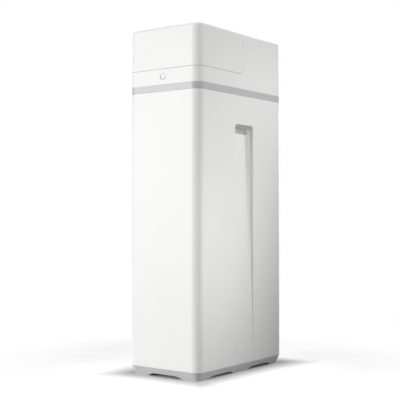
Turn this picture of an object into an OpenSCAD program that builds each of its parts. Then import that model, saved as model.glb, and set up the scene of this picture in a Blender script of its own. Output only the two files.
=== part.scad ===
// Cabinet water softener: a salt cabinet that holds its resin tank, control valve and brine gear.
// Millimetres, +Z up, front towards -Y. The origin is the middle of the footprint, on the floor.

/* [Cabinet] */
// Outer width, side to side
cab_w = 285; // [282:1:310]
// Outer depth, front to back
cab_d = 485; // [475:1:530]
// Radius of the four upright corners
cab_r = 30; // [24:1:40]
// Wall of the shell
wall = 4; // [3:0.5:5]
// Floor of the shell
floor_t = 5; // [4:0.5:8]
// Height of the shell
body_h = 870; // [820:5:900]

/* [Plinth] */
// Height of the plinth
base_h = 28; // [24:1:40]
// How far the plinth draws in towards the floor
base_taper = 10; // [4:1:14]
// Wall of the plinth
base_wall = 7; // [5:0.5:10]
// Deck of the plinth, under the cabinet
base_deck = 5; // [3:0.5:8]
// Thickness of the stiffening ribs
rib_t = 4; // [3:0.5:6]
// Width of each low arch at the floor
arch_w = 150; // [110:2:160]
// Height of each low arch
arch_h = 9; // [5:0.5:11]
// Length of the slope at each end of an arch
arch_ramp = 32; // [15:1:45]
// Middle of each side arch, from the middle of the side
arch_y = 110; // [100:1:120]
// Radius of the foot under the middle of the plinth
foot_r = 30; // [20:1:40]

/* [Hand scoops] */
// Width of the scoop along the side
scoop_w = 104; // [90:1:115]
// Middle of the scoop behind the middle of the side
scoop_y = 5; // [0:1:10]
// Radius of the scoop's upper corners
scoop_r = 12; // [6:1:14]
// Top of the scoop below the rim of the cabinet
scoop_drop = 95; // [80:1:120]
// Height of the finger pocket
pocket_h = 30; // [24:1:36]
// Depth of the finger pocket
pocket_d = 40; // [32:1:42]
// Depth of the scoop at the lip of the pocket
scoop_d = 20; // [14:1:26]
// Where the scoop runs out, above the bottom of the cabinet
scoop_foot = 38; // [25:1:80]

/* [Trim band] */
// Height of the band
band_h = 22; // [18:1:26]
// Depth of the skirt inside the cabinet
skirt_h = 10; // [6:1:16]
// Thickness of the skirt and of the lip
lip_t = 3; // [2:0.5:4]
// Height of the lip inside the head
lip_h = 8; // [5:1:10]
// Shadow groove along the band's lower edge
band_groove = 1; // [0.5:0.25:2]
// Clearance of parts that drop over each other
fit_clr = 0.3; // [0.2:0.05:0.5]

/* [Head] */
// Height of the strip under the lid
strip_h = 49; // [46:1:60]
// Height of the lid
lid_h = 131; // [120:1:150]
// Wall of the head cover and the lid
head_wall = 3; // [2.5:0.25:4]
// Draw-in of the head from the band to the top
head_draft = 2; // [1:0.25:3]
// Rounding of the top edge
head_fillet = 6; // [5:0.5:10]
// Back edge of the lid, from the front of the cabinet
seam_back = 240; // [225:1:245]
// Gap round the lid
seam_gap = 1; // [1:0.1:2]
// Radius of the lid's lower back corners
lid_corner_r = 12; // [10:1:20]
// Rounding of the two edges of the top seam
seam_edge_r = 3; // [2:0.25:4]
// Distance of the hatch collar inside the outer skin
collar_in = 6.5; // [6:0.25:9]
// Thickness of the collar and its ledge
collar_t = 3; // [2.5:0.25:4]
// Height of the collar above the strip
collar_up = 7; // [4:1:12]
// Depth of the collar below the strip
collar_down = 11; // [9:0.5:12]
// Thickness of the bulkhead between the hatch and the valve
bulkhead_t = 3; // [2.5:0.25:4]
// Half width of the notch in the back of the head
notch_half = 100; // [97:1:110]
// Radius of the notch's upper corners
notch_r = 15; // [8:1:24]

/* [Lid hinge] */
// Pivot ahead of the lid's back edge
hinge_fwd = 24; // [22:1:30]
// Pivot below the top
hinge_drop = 8; // [8:0.25:9]
// Radius of each pivot pin
pin_r = 2.5; // [2:0.1:2.8]
// Running clearance of the pins
pin_run = 0.05; // [0.02:0.01:0.1]
// Radius of the ears round the pins
ear_r = 4.6; // [4.3:0.1:4.8]
// Length of the ears on the lid
ear_len = 7; // [5:0.5:9]
// Thickness of the cheeks on the hatch collar
cheek_t = 6; // [4:0.5:8]
// Length of a cheek at its foot
cheek_foot = 40; // [30:1:60]
// Side play between ear and cheek
side_play = 0.4; // [0.3:0.05:0.8]
// How far the lid swings up, in degrees
lid_open = 110; // [90:1:112]

/* [Front button] */
// Radius of the button's cap
button_r = 8; // [6:0.5:9]
// Gap round the cap
button_clr = 0.3; // [0.25:0.05:0.5]
// Wall of the bezel's tube
bezel_t = 1.7; // [1.4:0.1:2.5]
// Rim of the bezel outside its tube
bezel_rim = 1.2; // [0.8:0.1:2]
// How far the bezel stands off the strip
bezel_proud = 1; // [0.6:0.1:1.5]
// Length of the bezel's tube behind the skin
bezel_len = 7; // [6:0.5:9]
// Travel of the button
button_travel = 1.2; // [0.8:0.1:1.5]
// Thickness of the circuit boards
board_t = 1.6; // [1.2:0.1:2]

/* [Top panel] */
// Width of the panel
panel_w = 170; // [160:1:200]
// Depth of the panel
panel_d = 84; // [80:1:100]
// Thickness of the panel
panel_t = 1.2; // [0.8:0.1:1.5]
// Corner radius of the panel
panel_r = 8; // [4:0.5:12]
// Width of the display window
window_w = 92; // [70:1:110]
// Depth of the display window
window_d = 36; // [30:1:38]
// Ledge that carries the window
window_ledge = 3; // [2:0.5:4]
// Radius of each key
key_r = 6; // [4:0.25:7]
// Spacing of the keys
key_pitch = 30; // [22:1:34]
// How far the keys stand off the panel
key_proud = 1; // [0.9:0.1:2]
// Travel of the keys
key_travel = 0.8; // [0.5:0.05:0.9]
// Display board below the top wall
board_drop = 10; // [8:0.5:14]

/* [Resin tank] */
// Outer radius of the tank
tank_r = 103; // [95:1:105]
// Wall of the tank
tank_t = 3; // [2.5:0.25:5]
// Space between the tank boot and the back wall
tank_gap = 6; // [5:0.5:12]
// Radius of the tank's lower knuckle
knuckle_r = 50; // [40:1:60]
// Radius of the neck
neck_r = 43; // [41:0.5:46]
// Bore of the neck
neck_bore = 32; // [30:0.5:33]
// Height of the neck
neck_h = 30; // [24:1:40]
// Top of the neck below the top of the trim band
neck_drop = 4; // [2:0.5:5]
// Height of the boot
boot_h = 70; // [50:1:74]
// Wall and floor of the boot
boot_t = 2.5; // [2:0.25:4]
// Height of the resin above the bottom of the tank
resin_h = 560; // [300:10:650]
// Outer radius of the riser tube
riser_r = 13.35; // [12:0.05:14]
// Bore of the riser tube
riser_bore = 10.5; // [9:0.1:11]
// Radius of the two strainers
strainer_r = 27; // [24:0.5:29]
// Height of the bottom distributor
distributor_h = 70; // [60:1:90]
// Height of the top strainer
strainer_h = 26; // [20:1:40]

/* [Control valve] */
// Radius of the valve's barrel
valve_r = 40; // [38:0.5:41]
// Height of the barrel above its flange
valve_h = 92; // [90:1:98]
// Radius of the flange on the tank
valve_flange_r = 47; // [45:0.5:50]
// Height of the flange on the tank
valve_flange_h = 14; // [12:0.5:16]
// Depth of the spigot in the tank neck
spigot_h = 36; // [28:1:44]
// Radius of the rotor chamber
chamber_r = 31; // [28:0.5:31.5]
// Depth of the rotor chamber
chamber_d = 22; // [20:0.5:24]
// Thickness of each ceramic disc
disc_t = 6; // [5:0.25:7]
// Thickness of the bonnet
bonnet_t = 10; // [8:0.5:12]
// Radius of the rotor shaft
shaft_r = 6; // [5:0.1:7]
// Radius of the bonnet screws
screw_r = 2; // [1.5:0.1:2.2]
// Centre of the pipe ports above the flange
port_rise = 35; // [34:0.5:37]
// Distance of each pipe port from the middle
port_x = 38; // [37:0.5:40]
// Outer radius of the pipe ports
port_r = 21; // [19:0.5:22]
// Bore of the pipe ports
port_bore = 13; // [12:0.25:14]
// Length of the pipe ports behind the tank's axis
port_len = 72; // [66:1:76]
// Centre of the brine and drain ports above the flange
side_rise = 12; // [11.5:0.25:12.5]
// Reach of the brine and drain ports from the middle
side_x = 70; // [66:0.5:74]

/* [Drive] */
// Tooth module of the drive gears
tooth_m = 1.5; // [1.3:0.05:1.6]
// Teeth on the drive gear
gear_n = 60; // [60:4:68]
// Teeth on the motor pinion
pinion_n = 16; // [16:4:20]
// Thickness of the drive gear
gear_t = 8; // [6:0.5:10]
// Play between the teeth
backlash = 0.3; // [0.2:0.05:0.5]
// Radius of the motor
motor_r = 15; // [12:0.5:15.5]
// Length of the motor
motor_l = 38; // [30:1:40]
// Radius of the motor's shaft
motor_shaft_r = 2.5; // [2:0.1:3]

/* [Pipework] */
// Length of the bypass block
bypass_l = 52; // [48:1:58]
// Radius of the bypass plugs
plug_r = 15; // [14:0.25:15.5]
// Wall round the bypass plugs
plug_wall = 4; // [3:0.25:5]
// Top of the bypass housings above the pipe centre
housing_up = 27; // [25:0.5:30]
// Length of the bypass handle bars
handle_l = 44; // [36:1:60]
// Radius of the pipe thread, G1 male
thread_r = 16.6; // [14:0.1:17]
// Length of the pipe thread behind the nut
thread_l = 24; // [18:1:40]
// Bore of the pipe adapters
adapter_bore = 12.5; // [10:0.25:13]
// Radius of the drain spigot
drain_r = 8; // [7:0.25:8.5]
// How far the drain spigot stands behind the cabinet
drain_out = 28; // [22:1:50]

/* [Brine gear] */
// Radius of the brine well
well_r = 45; // [40:0.5:46]
// Wall of the brine well
well_t = 2.5; // [2:0.25:4]
// Gap between the well and the cabinet's side
well_gap = 7.5; // [6:0.5:9]
// Middle of the well ahead of the middle of the cabinet
well_fwd = 108; // [104:1:125]
// Top of the well below the rim of the cabinet
well_drop = 30; // [26:1:40]
// Height of the salt grid's deck above the cabinet floor
grid_rise = 77; // [76:1:90]
// Thickness of the salt grid's deck
grid_t = 5; // [4:0.5:8]
// Spacing of the holes in the salt grid
grid_pitch = 30; // [26:1:40]
// Outer radius of the brine tube
tube_r = 4.76; // [4:0.01:5]
// Wall of the brine tube
tube_t = 1.5; // [1:0.1:1.8]
// Bend radius of the brine tube
tube_bend = 24; // [20:1:25]
// Level run of the brine tube below the rim of the cabinet
tube_drop = 48; // [46:1:54]
// Radius of the float
float_r = 24; // [18:0.5:24]
// Height of the float
float_h = 60; // [40:1:80]
// Height of the float above the cabinet floor
float_rise = 217; // [160:1:300]
// Radius of the float rod
rod_r = 2.5; // [2:0.1:3]
// Rise of the float
float_travel = 20; // [10:1:20]
// Height of the overflow above the cabinet floor
overflow_rise = 607; // [300:1:690]
// Distance of the overflow from the middle of the back
overflow_x = 80; // [74:1:90]
// Radius of the overflow spigot
overflow_r = 9; // [8:0.25:10]

/* [Hidden] */
$fn = 64;
hull_fn = 32;
over = 1;
slice_t = 0.01;
touch_gap = 0.3;
skin_gap = 0.2;

// Levels
z_cab = base_h;
z_floor = z_cab + floor_t;
z_band = z_cab + body_h;
z_head = z_band + band_h;
z_seam = z_head + strip_h;
z_top = z_seam + lid_h;
front_y = -cab_d / 2;
back_y = cab_d / 2;

// Outer skin of the head at a height: its draw-in, its front and its back
function head_inset(z) = head_draft * (z - z_head) / (z_top - z_head);
function skin_front(z) = front_y + head_inset(z);
function skin_back(z) = back_y - head_inset(z);

// Head
seam_y = front_y + seam_back;
lid_y = seam_y - seam_gap / 2;
cover_y = seam_y + seam_gap / 2;
lid_z = z_seam + seam_gap / 2;
hinge_y = lid_y - hinge_fwd;
hinge_z = z_top - hinge_drop;
lid_inner_x = cab_w / 2 - head_draft - head_wall;
ear_x = lid_inner_x - ear_len;
cheek_x = ear_x - side_play;
collar_z = z_seam - collar_down;
cheek_edge = 1;
flap_room = 4;
bulkhead_lift = 2;
bulkhead_z = z_head + lip_h + bulkhead_lift;
cover_screw_edge = 6;
cover_screw_x = notch_half + cover_screw_edge;
cover_screw_z = z_head + lip_h / 2;
cover_screw_head = 2;
jack_in = 10;
jack_drop = 40;
jack_x = notch_half - jack_in;
jack_z = z_top - jack_drop;
jack_r = 5.5;
jack_rim = 2.5;
jack_rim_t = 2;
jack_nut_t = 3;
jack_l = 14;
jack_bore = 3.25;
jack_bore_d = 7;

// Front button
button_z = z_head + strip_h / 2;
bezel_tube_r = button_r + button_clr + bezel_t;
bezel_r = bezel_tube_r + bezel_rim;
button_flange_in = 0.6;
button_flange_r = bezel_tube_r - button_flange_in;
button_flange_t = 1.5;
button_set = 0.4;
dish_r = 40;
dish_d = 0.7;
button_board_edge = 6;
button_board_half = bezel_tube_r + button_board_edge;
button_board_h = 22;
button_post_r = 3;
switch_h = 2;
bezel_back = skin_front(button_z) + bezel_len;
button_back = bezel_back + touch_gap + button_flange_t;
button_board_y = button_back + button_travel + switch_h + touch_gap;

// Top panel
panel_y = (cover_y + back_y) / 2;
panel_clr = 0.2;
window_back = 14;
window_y = panel_y + window_back;
key_fwd = 25;
key_y = panel_y - key_fwd;
key_x = [for (i = [0:3]) (i - 1.5) * key_pitch];
key_clr = 0.3;
key_flange_t = 1.5;
key_flange = 1.3;
wall_under = z_top - head_wall;
key_back = wall_under - touch_gap - key_flange_t;
board_top = wall_under - board_drop;
board_side = 6;
board_end = 3;
board_w = panel_w - 2 * board_side;
board_d = panel_d - 2 * board_end;
module_gap = 0.5;
module_side = 2;
module_end = 1;
post_r = 4;
post_edge = 1;
switch_r = 3;

// Resin tank
boot_r = tank_r + fit_clr + boot_t;
tank_y = back_y - wall - tank_gap - boot_r;
tank_z = z_floor + boot_t;
z_neck = z_head - neck_drop;
shoulder_r = tank_r - neck_r;
shoulder_z = z_neck - neck_h - shoulder_r;
nest_t = 3;
nest_h = 12;
distributor_z = tank_z + tank_t;
riser_seat = 20;
riser_up = 18;
riser_room = 1;
riser_top = z_neck + riser_up;
strainer_t = 3;
strainer_lid = 5;
slot_half = 1;
seat_t = 4;

// Control valve
valve_z = z_neck + valve_flange_h;
chamber_top = valve_z + valve_h;
chamber_z = chamber_top - chamber_d;
bonnet_z = chamber_top;
port_z = valve_z + port_rise;
side_z = valve_z + side_rise;
passage_r = 5;
passage_in = 6;
passage_x = chamber_r - passage_in;
disc_hole_r = 5.5;
disc_hole_in = 10.5;
disc_hole_x = chamber_r - disc_hole_in;
disc_roof = 2;
disc_slot_d = disc_t - disc_roof;
rotor_clr = 1;
rotor_r = chamber_r - rotor_clr;
rotor_t = 6;
shaft_up = 4;
riser_clr = 0.25;
spigot_r = neck_bore - fit_clr;
screw_pitch_r = (chamber_r + valve_r) / 2;
screw_clr = 0.2;
screw_n = 6;
screw_head_h = 3;
screw_bite = 14;
screw_room = 2;
ring_r = (neck_bore + neck_r) / 2;
ring_section = 1.9;
ring_clr = 0.1;
ring_half = ring_section + ring_clr;
manifold_in = 4;
manifold_low = 3;
manifold_x = port_x + port_r - manifold_in;
manifold_h = port_r - manifold_low;
manifold_front = 12;
manifold_back = 30;
port_flange = 3;
port_flange_r = port_r + port_flange;
port_flange_t = 4;
boss_r = 11;
side_bore = 4;
side_wall = 4;
injector_r = 15;
injector_y = -66;
injector_bore = 9;
injector_d = 34;
cap_rim = 2;
cap_t = 8;
cap_plug = 4;
cap_hex_r = 6;
cap_hex_d = 5;
nozzle_in_r = 5;
nozzle_in_l = 14;
nozzle_out_r = 4;
nozzle_out_l = 17;
nozzle_lap = 0.1;
throat_r = 1.2;

// Drive
gear_lift = 5;
gear_z = bonnet_z + bonnet_t + gear_lift;
gear_rim = 4;
press_angle = 25;
addendum = 0.8 * tooth_m;
dedendum = 1.2 * tooth_m;
drive_a = tooth_m * (gear_n + pinion_n) / 2;
arm_t = 8;
arm_edge = 2;
arm_r = motor_r + arm_edge;
motor_top = bonnet_z + bonnet_t - arm_t;
motor_boss_h = 4;
motor_boss_in = 5;
shaft_room = 3;
run_clr = 0.05;
shaft_clr = 0.02;

// Pipework
bypass_y = tank_y + port_len;
plug_y = bypass_y + bypass_l / 2;
housing_top = port_z + housing_up;
handle_h = 18;
handle_w = 12;
handle_base = 6;
plug_floor = 3;
plug_bore_in = 2;
cross_in = 6;
cross_bore_in = 4;
nut_wall = 6;
nut_r = port_r + nut_wall;
nut_room = 1.5;
nut_over = bypass_l / 2 - plug_r - plug_wall - nut_room;
flute_out = 2;
flute_r = 4;
adapter_y = bypass_y + bypass_l;
adapter_flange_t = 4;
nut_lip = 4;
thread_relief = 0.4;
nut_end = adapter_y + adapter_flange_t + fit_clr + nut_lip;
thread_end = nut_end + thread_l;
notch_room = 6;
notch_z = housing_top + handle_h + notch_room;
drain_reach = 16;
drain_x = side_x + drain_reach;
drain_bore = 5.5;
drain_flange_t = 4;
barb = 0.8;
barb_l = 5;
barb_pitch = 6;
barb_n = 3;
drain_tip = 1;
drain_end = back_y + drain_out;
axle_r = 1.2;
spider_set = 5;
spider_t = 5;
spider_wall = 2;
spider_hub = 0.5;
axle_past = 3;
turbine_l = 14;
turbine_hub = 4;
turbine_gap = 3;
turbine_y = port_len - spider_set - spider_t - turbine_l - turbine_gap;
blade_clr = 1;
blade_l = 9;
blade_t = 1.2;
blade_pitch = 30;
clip_t = 3;
clip_lip = 2;
clip_mouth = 16.8;

// Brine gear
well_x = -(cab_w / 2 - wall - well_gap - well_r);
well_y = -well_fwd;
well_top = z_band - well_drop;
well_hole_r = 4;
well_hole_pitch = 20;
well_slot_clr = 2;
well_cap_rim = 2;
well_cap_t = 4;
well_cap_roof = 3;
well_cap_plug = 8;
well_cap_clr = 0.5;
well_cap_wall = 2.5;
fitting_l = 14;
fitting_neck = 4;
fitting_neck_in = 2;
fitting_nut_in = 1;
fitting_bore = 3;
tube_lead = 2;
tube_x = -(side_x + fitting_l + tube_bend + tube_lead);
tube_run_z = z_band - tube_drop;
rise_back = 25;
tube_rise_y = cover_y + bulkhead_t + tube_bend + rise_back;
tube_clr = 0.1;
tube_seat = 20;
brine_valve_h = 89;
brine_valve_top = z_floor + brine_valve_h;
brine_valve_r = 11;
brine_nut_h = 12;
brine_nut_in = 1;
brine_bore = 3;
brine_sump = 8;
brine_inlet_rise = 12;
brine_inlet_r = 3;
float_clr = 1.5;
float_edge = 6;
float_z = z_floor + float_rise;
guide_rise = 42;
guide_z = z_floor + guide_rise;
guide_h = 40;
guide_clr = 0.1;
guide_wall = 3.5;
guide_floor = 5;
web_half = 5;
collar_h = 4;
collar_r = 6;
rod_past = 12;

// The tube drops into the well outside its middle, and its level run turns in plan to meet the riser
drop_out = 24;
drop_x = well_x - drop_out;
float_x = drop_x + tube_r + float_clr + float_r;
run_turn = atan2(drop_x - tube_x, tube_rise_y - well_y);
run_l = norm([drop_x - tube_x, tube_rise_y - well_y]);

// Salt grid
grid_z = z_floor + grid_rise;
grid_clr = 3;
grid_hole_r = 4;
grid_hole_edge = 10;
grid_hole_room = 8;
grid_leg_r = 13;
grid_leg_t = 2.5;
grid_leg_edge = 3;
grid_leg_end = 6;
grid_leg_room = 6;
grid_past = 60;
grid_back = tank_y + grid_past;
grid_tank_room = 2;
grid_well_room = 1.5;

// Overflow
overflow_z = z_floor + overflow_rise;
overflow_rim = 6;
overflow_flange_r = overflow_r + overflow_rim;
overflow_flange_t = 3;
overflow_t = 2.5;
overflow_bend = 14;
overflow_drop = 40;
overflow_tip = 2;
overflow_nut_t = 3;
gasket_t = 1.5;

// Straight round bars along each axis, and a box between two corners
module rod_z(r, z0, z1) { translate([0, 0, z0]) cylinder(r = r, h = z1 - z0); }
module rod_y(r, y0, y1) { translate([0, y0, 0]) rotate([-90, 0, 0]) cylinder(r = r, h = y1 - y0); }
module rod_x(r, x0, x1) { translate([x0, 0, 0]) rotate([0, 90, 0]) cylinder(r = r, h = x1 - x0); }
module block(a, b) { translate(a) cube(b - a); }
module both_sides() {
    children();
    mirror([1, 0, 0]) children();
}
module at_tank() { translate([0, tank_y, 0]) children(); }

// Rounded rectangle
module plan(w, d, r) {
    square([w - 2 * r, d], center = true);
    square([w, d - 2 * r], center = true);
    for (x = [-1, 1], y = [-1, 1]) translate([x * (w / 2 - r), y * (d / 2 - r)]) circle(r);
}

// The cabinet's outline, drawn in by a distance
module cab_plan(inset) { plan(cab_w - 2 * inset, cab_d - 2 * inset, cab_r - inset); }
module cab_prism(inset, z0, z1) { translate([0, 0, z0]) linear_extrude(z1 - z0) cab_plan(inset); }
module cab_ring(inset, t, z0, z1) {
    translate([0, 0, z0]) linear_extrude(z1 - z0) difference() {
        cab_plan(inset);
        cab_plan(inset + t);
    }
}

// A profile in Y and Z, drawn out along X
module side_prism(x0, x1) { translate([x0, 0, 0]) rotate([90, 0, 90]) linear_extrude(x1 - x0) children(); }

// A profile in X and Z, drawn out along Y
module front_prism(y0, y1) { translate([0, y1, 0]) rotate([90, 0, 0]) linear_extrude(y1 - y0) children(); }

// Plinth

// Tapered block of the plinth, drawn in by a distance
module plinth_block(inset, z0, z1) {
    hull() {
        for (z = [z0, z1 - slice_t]) {
            t = inset + base_taper * (base_h - z) / base_h;
            translate([0, 0, z]) linear_extrude(slice_t)
                plan(cab_w - 2 * t, cab_d - 2 * t, cab_r - t, $fn = hull_fn);
        }
    }
}

module arch_shape() {
    flat = arch_w / 2 - arch_ramp;
    half = arch_w / 2;
    polygon([[-half, 0], [-flat, arch_h], [flat, arch_h], [half, 0], [half, -over], [-half, -over]]);
}

module base() {
    deck_z = base_h - base_deck;
    color("dimgray") difference() {
        union() {
            difference() {
                plinth_block(0, 0, base_h);
                plinth_block(base_wall, -over, deck_z);
            }
            intersection() {
                plinth_block(base_wall / 2, arch_h, base_h - base_deck / 2);
                union() {
                    for (x = [-1, 0, 1]) translate([x * cab_w / 5, 0, base_h / 2])
                        cube([rib_t, cab_d, base_h], center = true);
                    for (y = [-2:2]) translate([0, y * cab_d / 6, base_h / 2])
                        cube([cab_w, rib_t, base_h], center = true);
                }
            }
            rod_z(foot_r, 0, deck_z + slice_t);
        }
        front_prism(front_y - over, front_y + base_taper + base_wall + over) arch_shape();
        front_prism(back_y - base_taper - base_wall - over, back_y + over) arch_shape();
        both_sides() for (y = [-arch_y, arch_y]) translate([0, y, 0])
            side_prism(cab_w / 2 - base_taper - base_wall - over, cab_w / 2 + over) arch_shape();
    }
}

// Cabinet

// The hand scoop on the +X side: a ramp that deepens upwards to a lip, and a finger pocket above it
module scoop(grow, out) {
    top = z_band - scoop_drop;
    lip = top - pocket_h;
    foot = z_cab + scoop_foot;
    half = scoop_w / 2 + grow;
    corner = scoop_r + grow;
    side = cab_w / 2;
    intersection() {
        side_prism(side - pocket_d - grow - over, side + out + over) translate([scoop_y, 0]) {
            translate([-half, foot - over]) square([2 * half, top + grow - corner - foot + over]);
            translate([corner - half, foot]) square([2 * (half - corner), top + grow - foot]);
            for (s = [-1, 1]) translate([s * (half - corner), top + grow - corner]) circle(corner);
        }
        front_prism(scoop_y - half - over, scoop_y + half + over) polygon([
            [side + out, foot], [side - grow, foot], [side - scoop_d - grow, lip - grow],
            [side - pocket_d - grow, lip - grow], [side - pocket_d - grow, top + grow],
            [side + out, top + grow]
        ]);
    }
}

// Round wall on the cabinet floor that keeps a standing piece in place
module nest(r, h) {
    difference() {
        rod_z(r + nest_t, z_floor - over, z_floor + h);
        rod_z(r, z_floor, z_floor + h + over);
    }
}

module cabinet() {
    color("white") difference() {
        union() {
            difference() {
                cab_prism(0, z_cab, z_band);
                cab_prism(wall, z_floor, z_band + over);
            }
            both_sides() scoop(wall, 0);
            at_tank() nest(boot_r + fit_clr, nest_h);
            translate([well_x, well_y, 0]) nest(well_r + fit_clr, nest_h);
        }
        both_sides() scoop(0, over);
        translate([overflow_x, 0, overflow_z])
            rod_y(overflow_r + fit_clr, back_y - wall - over, back_y + over);
    }
}

// Grey ring between the cabinet and the head
module trim_band() {
    lip_in = head_wall + fit_clr;
    skirt_in = wall + fit_clr;
    color("darkgray") difference() {
        union() {
            cab_ring(0, max(lip_in, skirt_in) + lip_t, z_band, z_head);
            cab_ring(skirt_in, lip_t, z_band - skirt_h, z_band + over);
            cab_ring(lip_in + head_draft * lip_h / (z_top - z_head), lip_t, z_head - over, z_head + lip_h);
        }
        cab_ring(-over, band_groove + over, z_band - over, z_band + band_groove);
        both_sides() translate([cover_screw_x, 0, cover_screw_z])
            rod_y(screw_r + screw_clr, back_y - lip_in - head_draft - lip_t - over, back_y);
    }
}

// Head

// Outer form of the head, drawn in by a distance: slight draft and a rounded top edge
module head_form(inset) {
    fillet = head_fillet - inset;
    low = inset > 0 ? z_head - over : z_head;
    rim = z_top - head_fillet;
    slices = concat(
        [[inset, low]],
        [for (a = [0:30:90])
            [inset + head_inset(rim) + fillet * (1 - cos(a)), rim + fillet * sin(a) - slice_t]]
    );
    hull() {
        for (s = slices) translate([0, 0, s[1]]) linear_extrude(slice_t)
            plan(cab_w - 2 * s[0], cab_d - 2 * s[0], cab_r - s[0], $fn = hull_fn);
    }
}

// Everything ahead of the lid's seam, grown by a distance
module lid_zone(grow) {
    y1 = lid_y + grow;
    z0 = lid_z - grow;
    r = lid_corner_r + grow;
    y0 = front_y - over;
    z1 = z_top + over;
    side_prism(-cab_w, cab_w) {
        translate([y0, z0]) square([y1 - r - y0, z1 - z0]);
        translate([y0, z0 + r]) square([y1 - y0, z1 - z0 - r]);
        translate([y1 - r, z0 + r]) circle(r);
    }
}

// Waste to cut away to round a top edge that ends at y, on the side that s points to
module seam_rounding(y, s) {
    side_prism(-cab_w, cab_w) difference() {
        translate([s > 0 ? y - seam_edge_r : y - over, z_top - seam_edge_r])
            square([seam_edge_r + over, seam_edge_r + over]);
        translate([y - s * seam_edge_r, z_top - seam_edge_r]) circle(seam_edge_r);
    }
}

// Upright on the collar that carries a pivot pin, cut back to let the lid's rear flap swing down
module cheek() {
    axis = [hinge_y, hinge_z];
    along = [cos(lid_open), -sin(lid_open)];
    across = [sin(lid_open), cos(lid_open)];
    foot_back = hinge_y + cheek_edge;
    difference() {
        union() {
            side_prism(cheek_x - cheek_t, cheek_x) {
                translate(axis) circle(ear_r);
                polygon([
                    [hinge_y - cheek_foot, collar_z], [foot_back, collar_z], [foot_back, z_seam + collar_up],
                    axis + along * (hinge_fwd + flap_room) + across * cheek_edge, axis + across * cheek_edge,
                    [hinge_y - ear_r, hinge_z]
                ]);
            }
            block([cheek_x - cheek_t, hinge_y - cheek_foot, collar_z],
                  [cab_w / 2 - collar_in - collar_t / 2, foot_back, z_seam + collar_up]);
        }
        translate([0, hinge_y, hinge_z]) rod_x(pin_r + shaft_clr, cheek_x - cheek_t - over, cheek_x + over);
    }
}

// Raised rim round the salt hatch, inside the lid
module hatch_collar() {
    intersection() {
        union() {
            cab_ring(collar_in, collar_t, collar_z, z_seam + collar_up);
            cab_ring(head_wall / 2 + head_inset(z_seam), collar_in + collar_t / 2 - head_wall / 2,
                     collar_z, collar_z + collar_t);
        }
        block([-cab_w, front_y, collar_z - over], [cab_w, cover_y + bulkhead_t / 2, z_top]);
    }
}

module head_cover() {
    post_x = board_w / 2 - post_r - post_edge;
    post_y = board_d / 2 - post_r - post_edge;
    color("white") difference() {
        union() {
            difference() {
                head_form(0);
                head_form(head_wall);
                lid_zone(seam_gap);
            }
            intersection() {
                block([-cab_w, cover_y, bulkhead_z], [cab_w, cover_y + bulkhead_t, z_top]);
                head_form(head_wall / 2);
            }
            hatch_collar();
            both_sides() cheek();
            for (x = [-post_x, post_x], y = [-post_y, post_y]) translate([x, panel_y + y, 0])
                rod_z(post_r, board_top, wall_under + slice_t);
            both_sides() translate([button_board_half - button_post_r, 0, button_z])
                rod_y(button_post_r, skin_front(button_z) + head_wall / 2, button_board_y);
        }
        seam_rounding(cover_y, -1);
        front_prism(back_y - cab_r, back_y + over) {
            low = z_head - over;
            inner = notch_half - notch_r;
            translate([-notch_half, low]) square([2 * notch_half, notch_z - notch_r - low]);
            translate([-inner, low]) square([2 * inner, notch_z - low]);
            for (x = [-inner, inner]) translate([x, notch_z - notch_r]) circle(notch_r);
        }
        translate([0, 0, button_z])
            rod_y(bezel_tube_r + fit_clr, front_y - over, front_y + head_wall + head_draft);
        translate([0, panel_y, z_top - panel_t]) linear_extrude(panel_t + over)
            plan(panel_w + 2 * panel_clr, panel_d + 2 * panel_clr, panel_r + panel_clr);
        translate([0, window_y, wall_under - over]) linear_extrude(head_wall + over)
            square([window_w - 2 * window_ledge, window_d - 2 * window_ledge], center = true);
        for (x = key_x) translate([x, key_y, 0]) rod_z(key_r + key_clr, wall_under - over, z_top);
        translate([jack_x, 0, jack_z])
            rod_y(jack_r + fit_clr, back_y - head_wall - head_draft - over, back_y);
        both_sides() translate([cover_screw_x, 0, cover_screw_z])
            rod_y(screw_r + screw_clr, back_y - head_wall - lip_t - over, back_y + over);
    }
}

module salt_lid() {
    color("white") difference() {
        union() {
            difference() {
                intersection() {
                    head_form(0);
                    lid_zone(0);
                }
                head_form(head_wall);
            }
            both_sides() translate([0, hinge_y, hinge_z])
                rod_x(ear_r, ear_x, lid_inner_x + head_wall / 2);
        }
        seam_rounding(lid_y, 1);
        both_sides() translate([0, hinge_y, hinge_z])
            rod_x(pin_r + pin_run, ear_x - over, lid_inner_x);
    }
}

module hinge_pins() {
    color("silver") both_sides() translate([0, hinge_y, hinge_z])
        rod_x(pin_r, cheek_x - cheek_t, lid_inner_x - touch_gap);
}

// Front button

module button_bezel() {
    skin = skin_front(button_z) - skin_gap;
    color("gainsboro") translate([0, 0, button_z]) difference() {
        union() {
            rod_y(bezel_r, skin - bezel_proud, skin);
            rod_y(bezel_tube_r, skin - bezel_proud, bezel_back);
        }
        rod_y(button_r + button_clr, skin - bezel_proud - over, bezel_back + over);
    }
}

module front_button() {
    face = skin_front(button_z) - bezel_proud + button_set;
    back = bezel_back + touch_gap;
    color("whitesmoke") translate([0, 0, button_z]) difference() {
        union() {
            rod_y(button_r, face, back + button_flange_t);
            rod_y(button_flange_r, back, back + button_flange_t);
        }
        translate([0, face + dish_d - dish_r, 0]) sphere(dish_r);
    }
}

module button_board() {
    y = button_board_y;
    color("darkgreen") translate([0, 0, button_z]) {
        block([-button_board_half, y, -button_board_h / 2],
              [button_board_half, y + board_t, button_board_h / 2]);
        rod_y(switch_r, y - switch_h, y + slice_t);
    }
}

// Top panel

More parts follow.
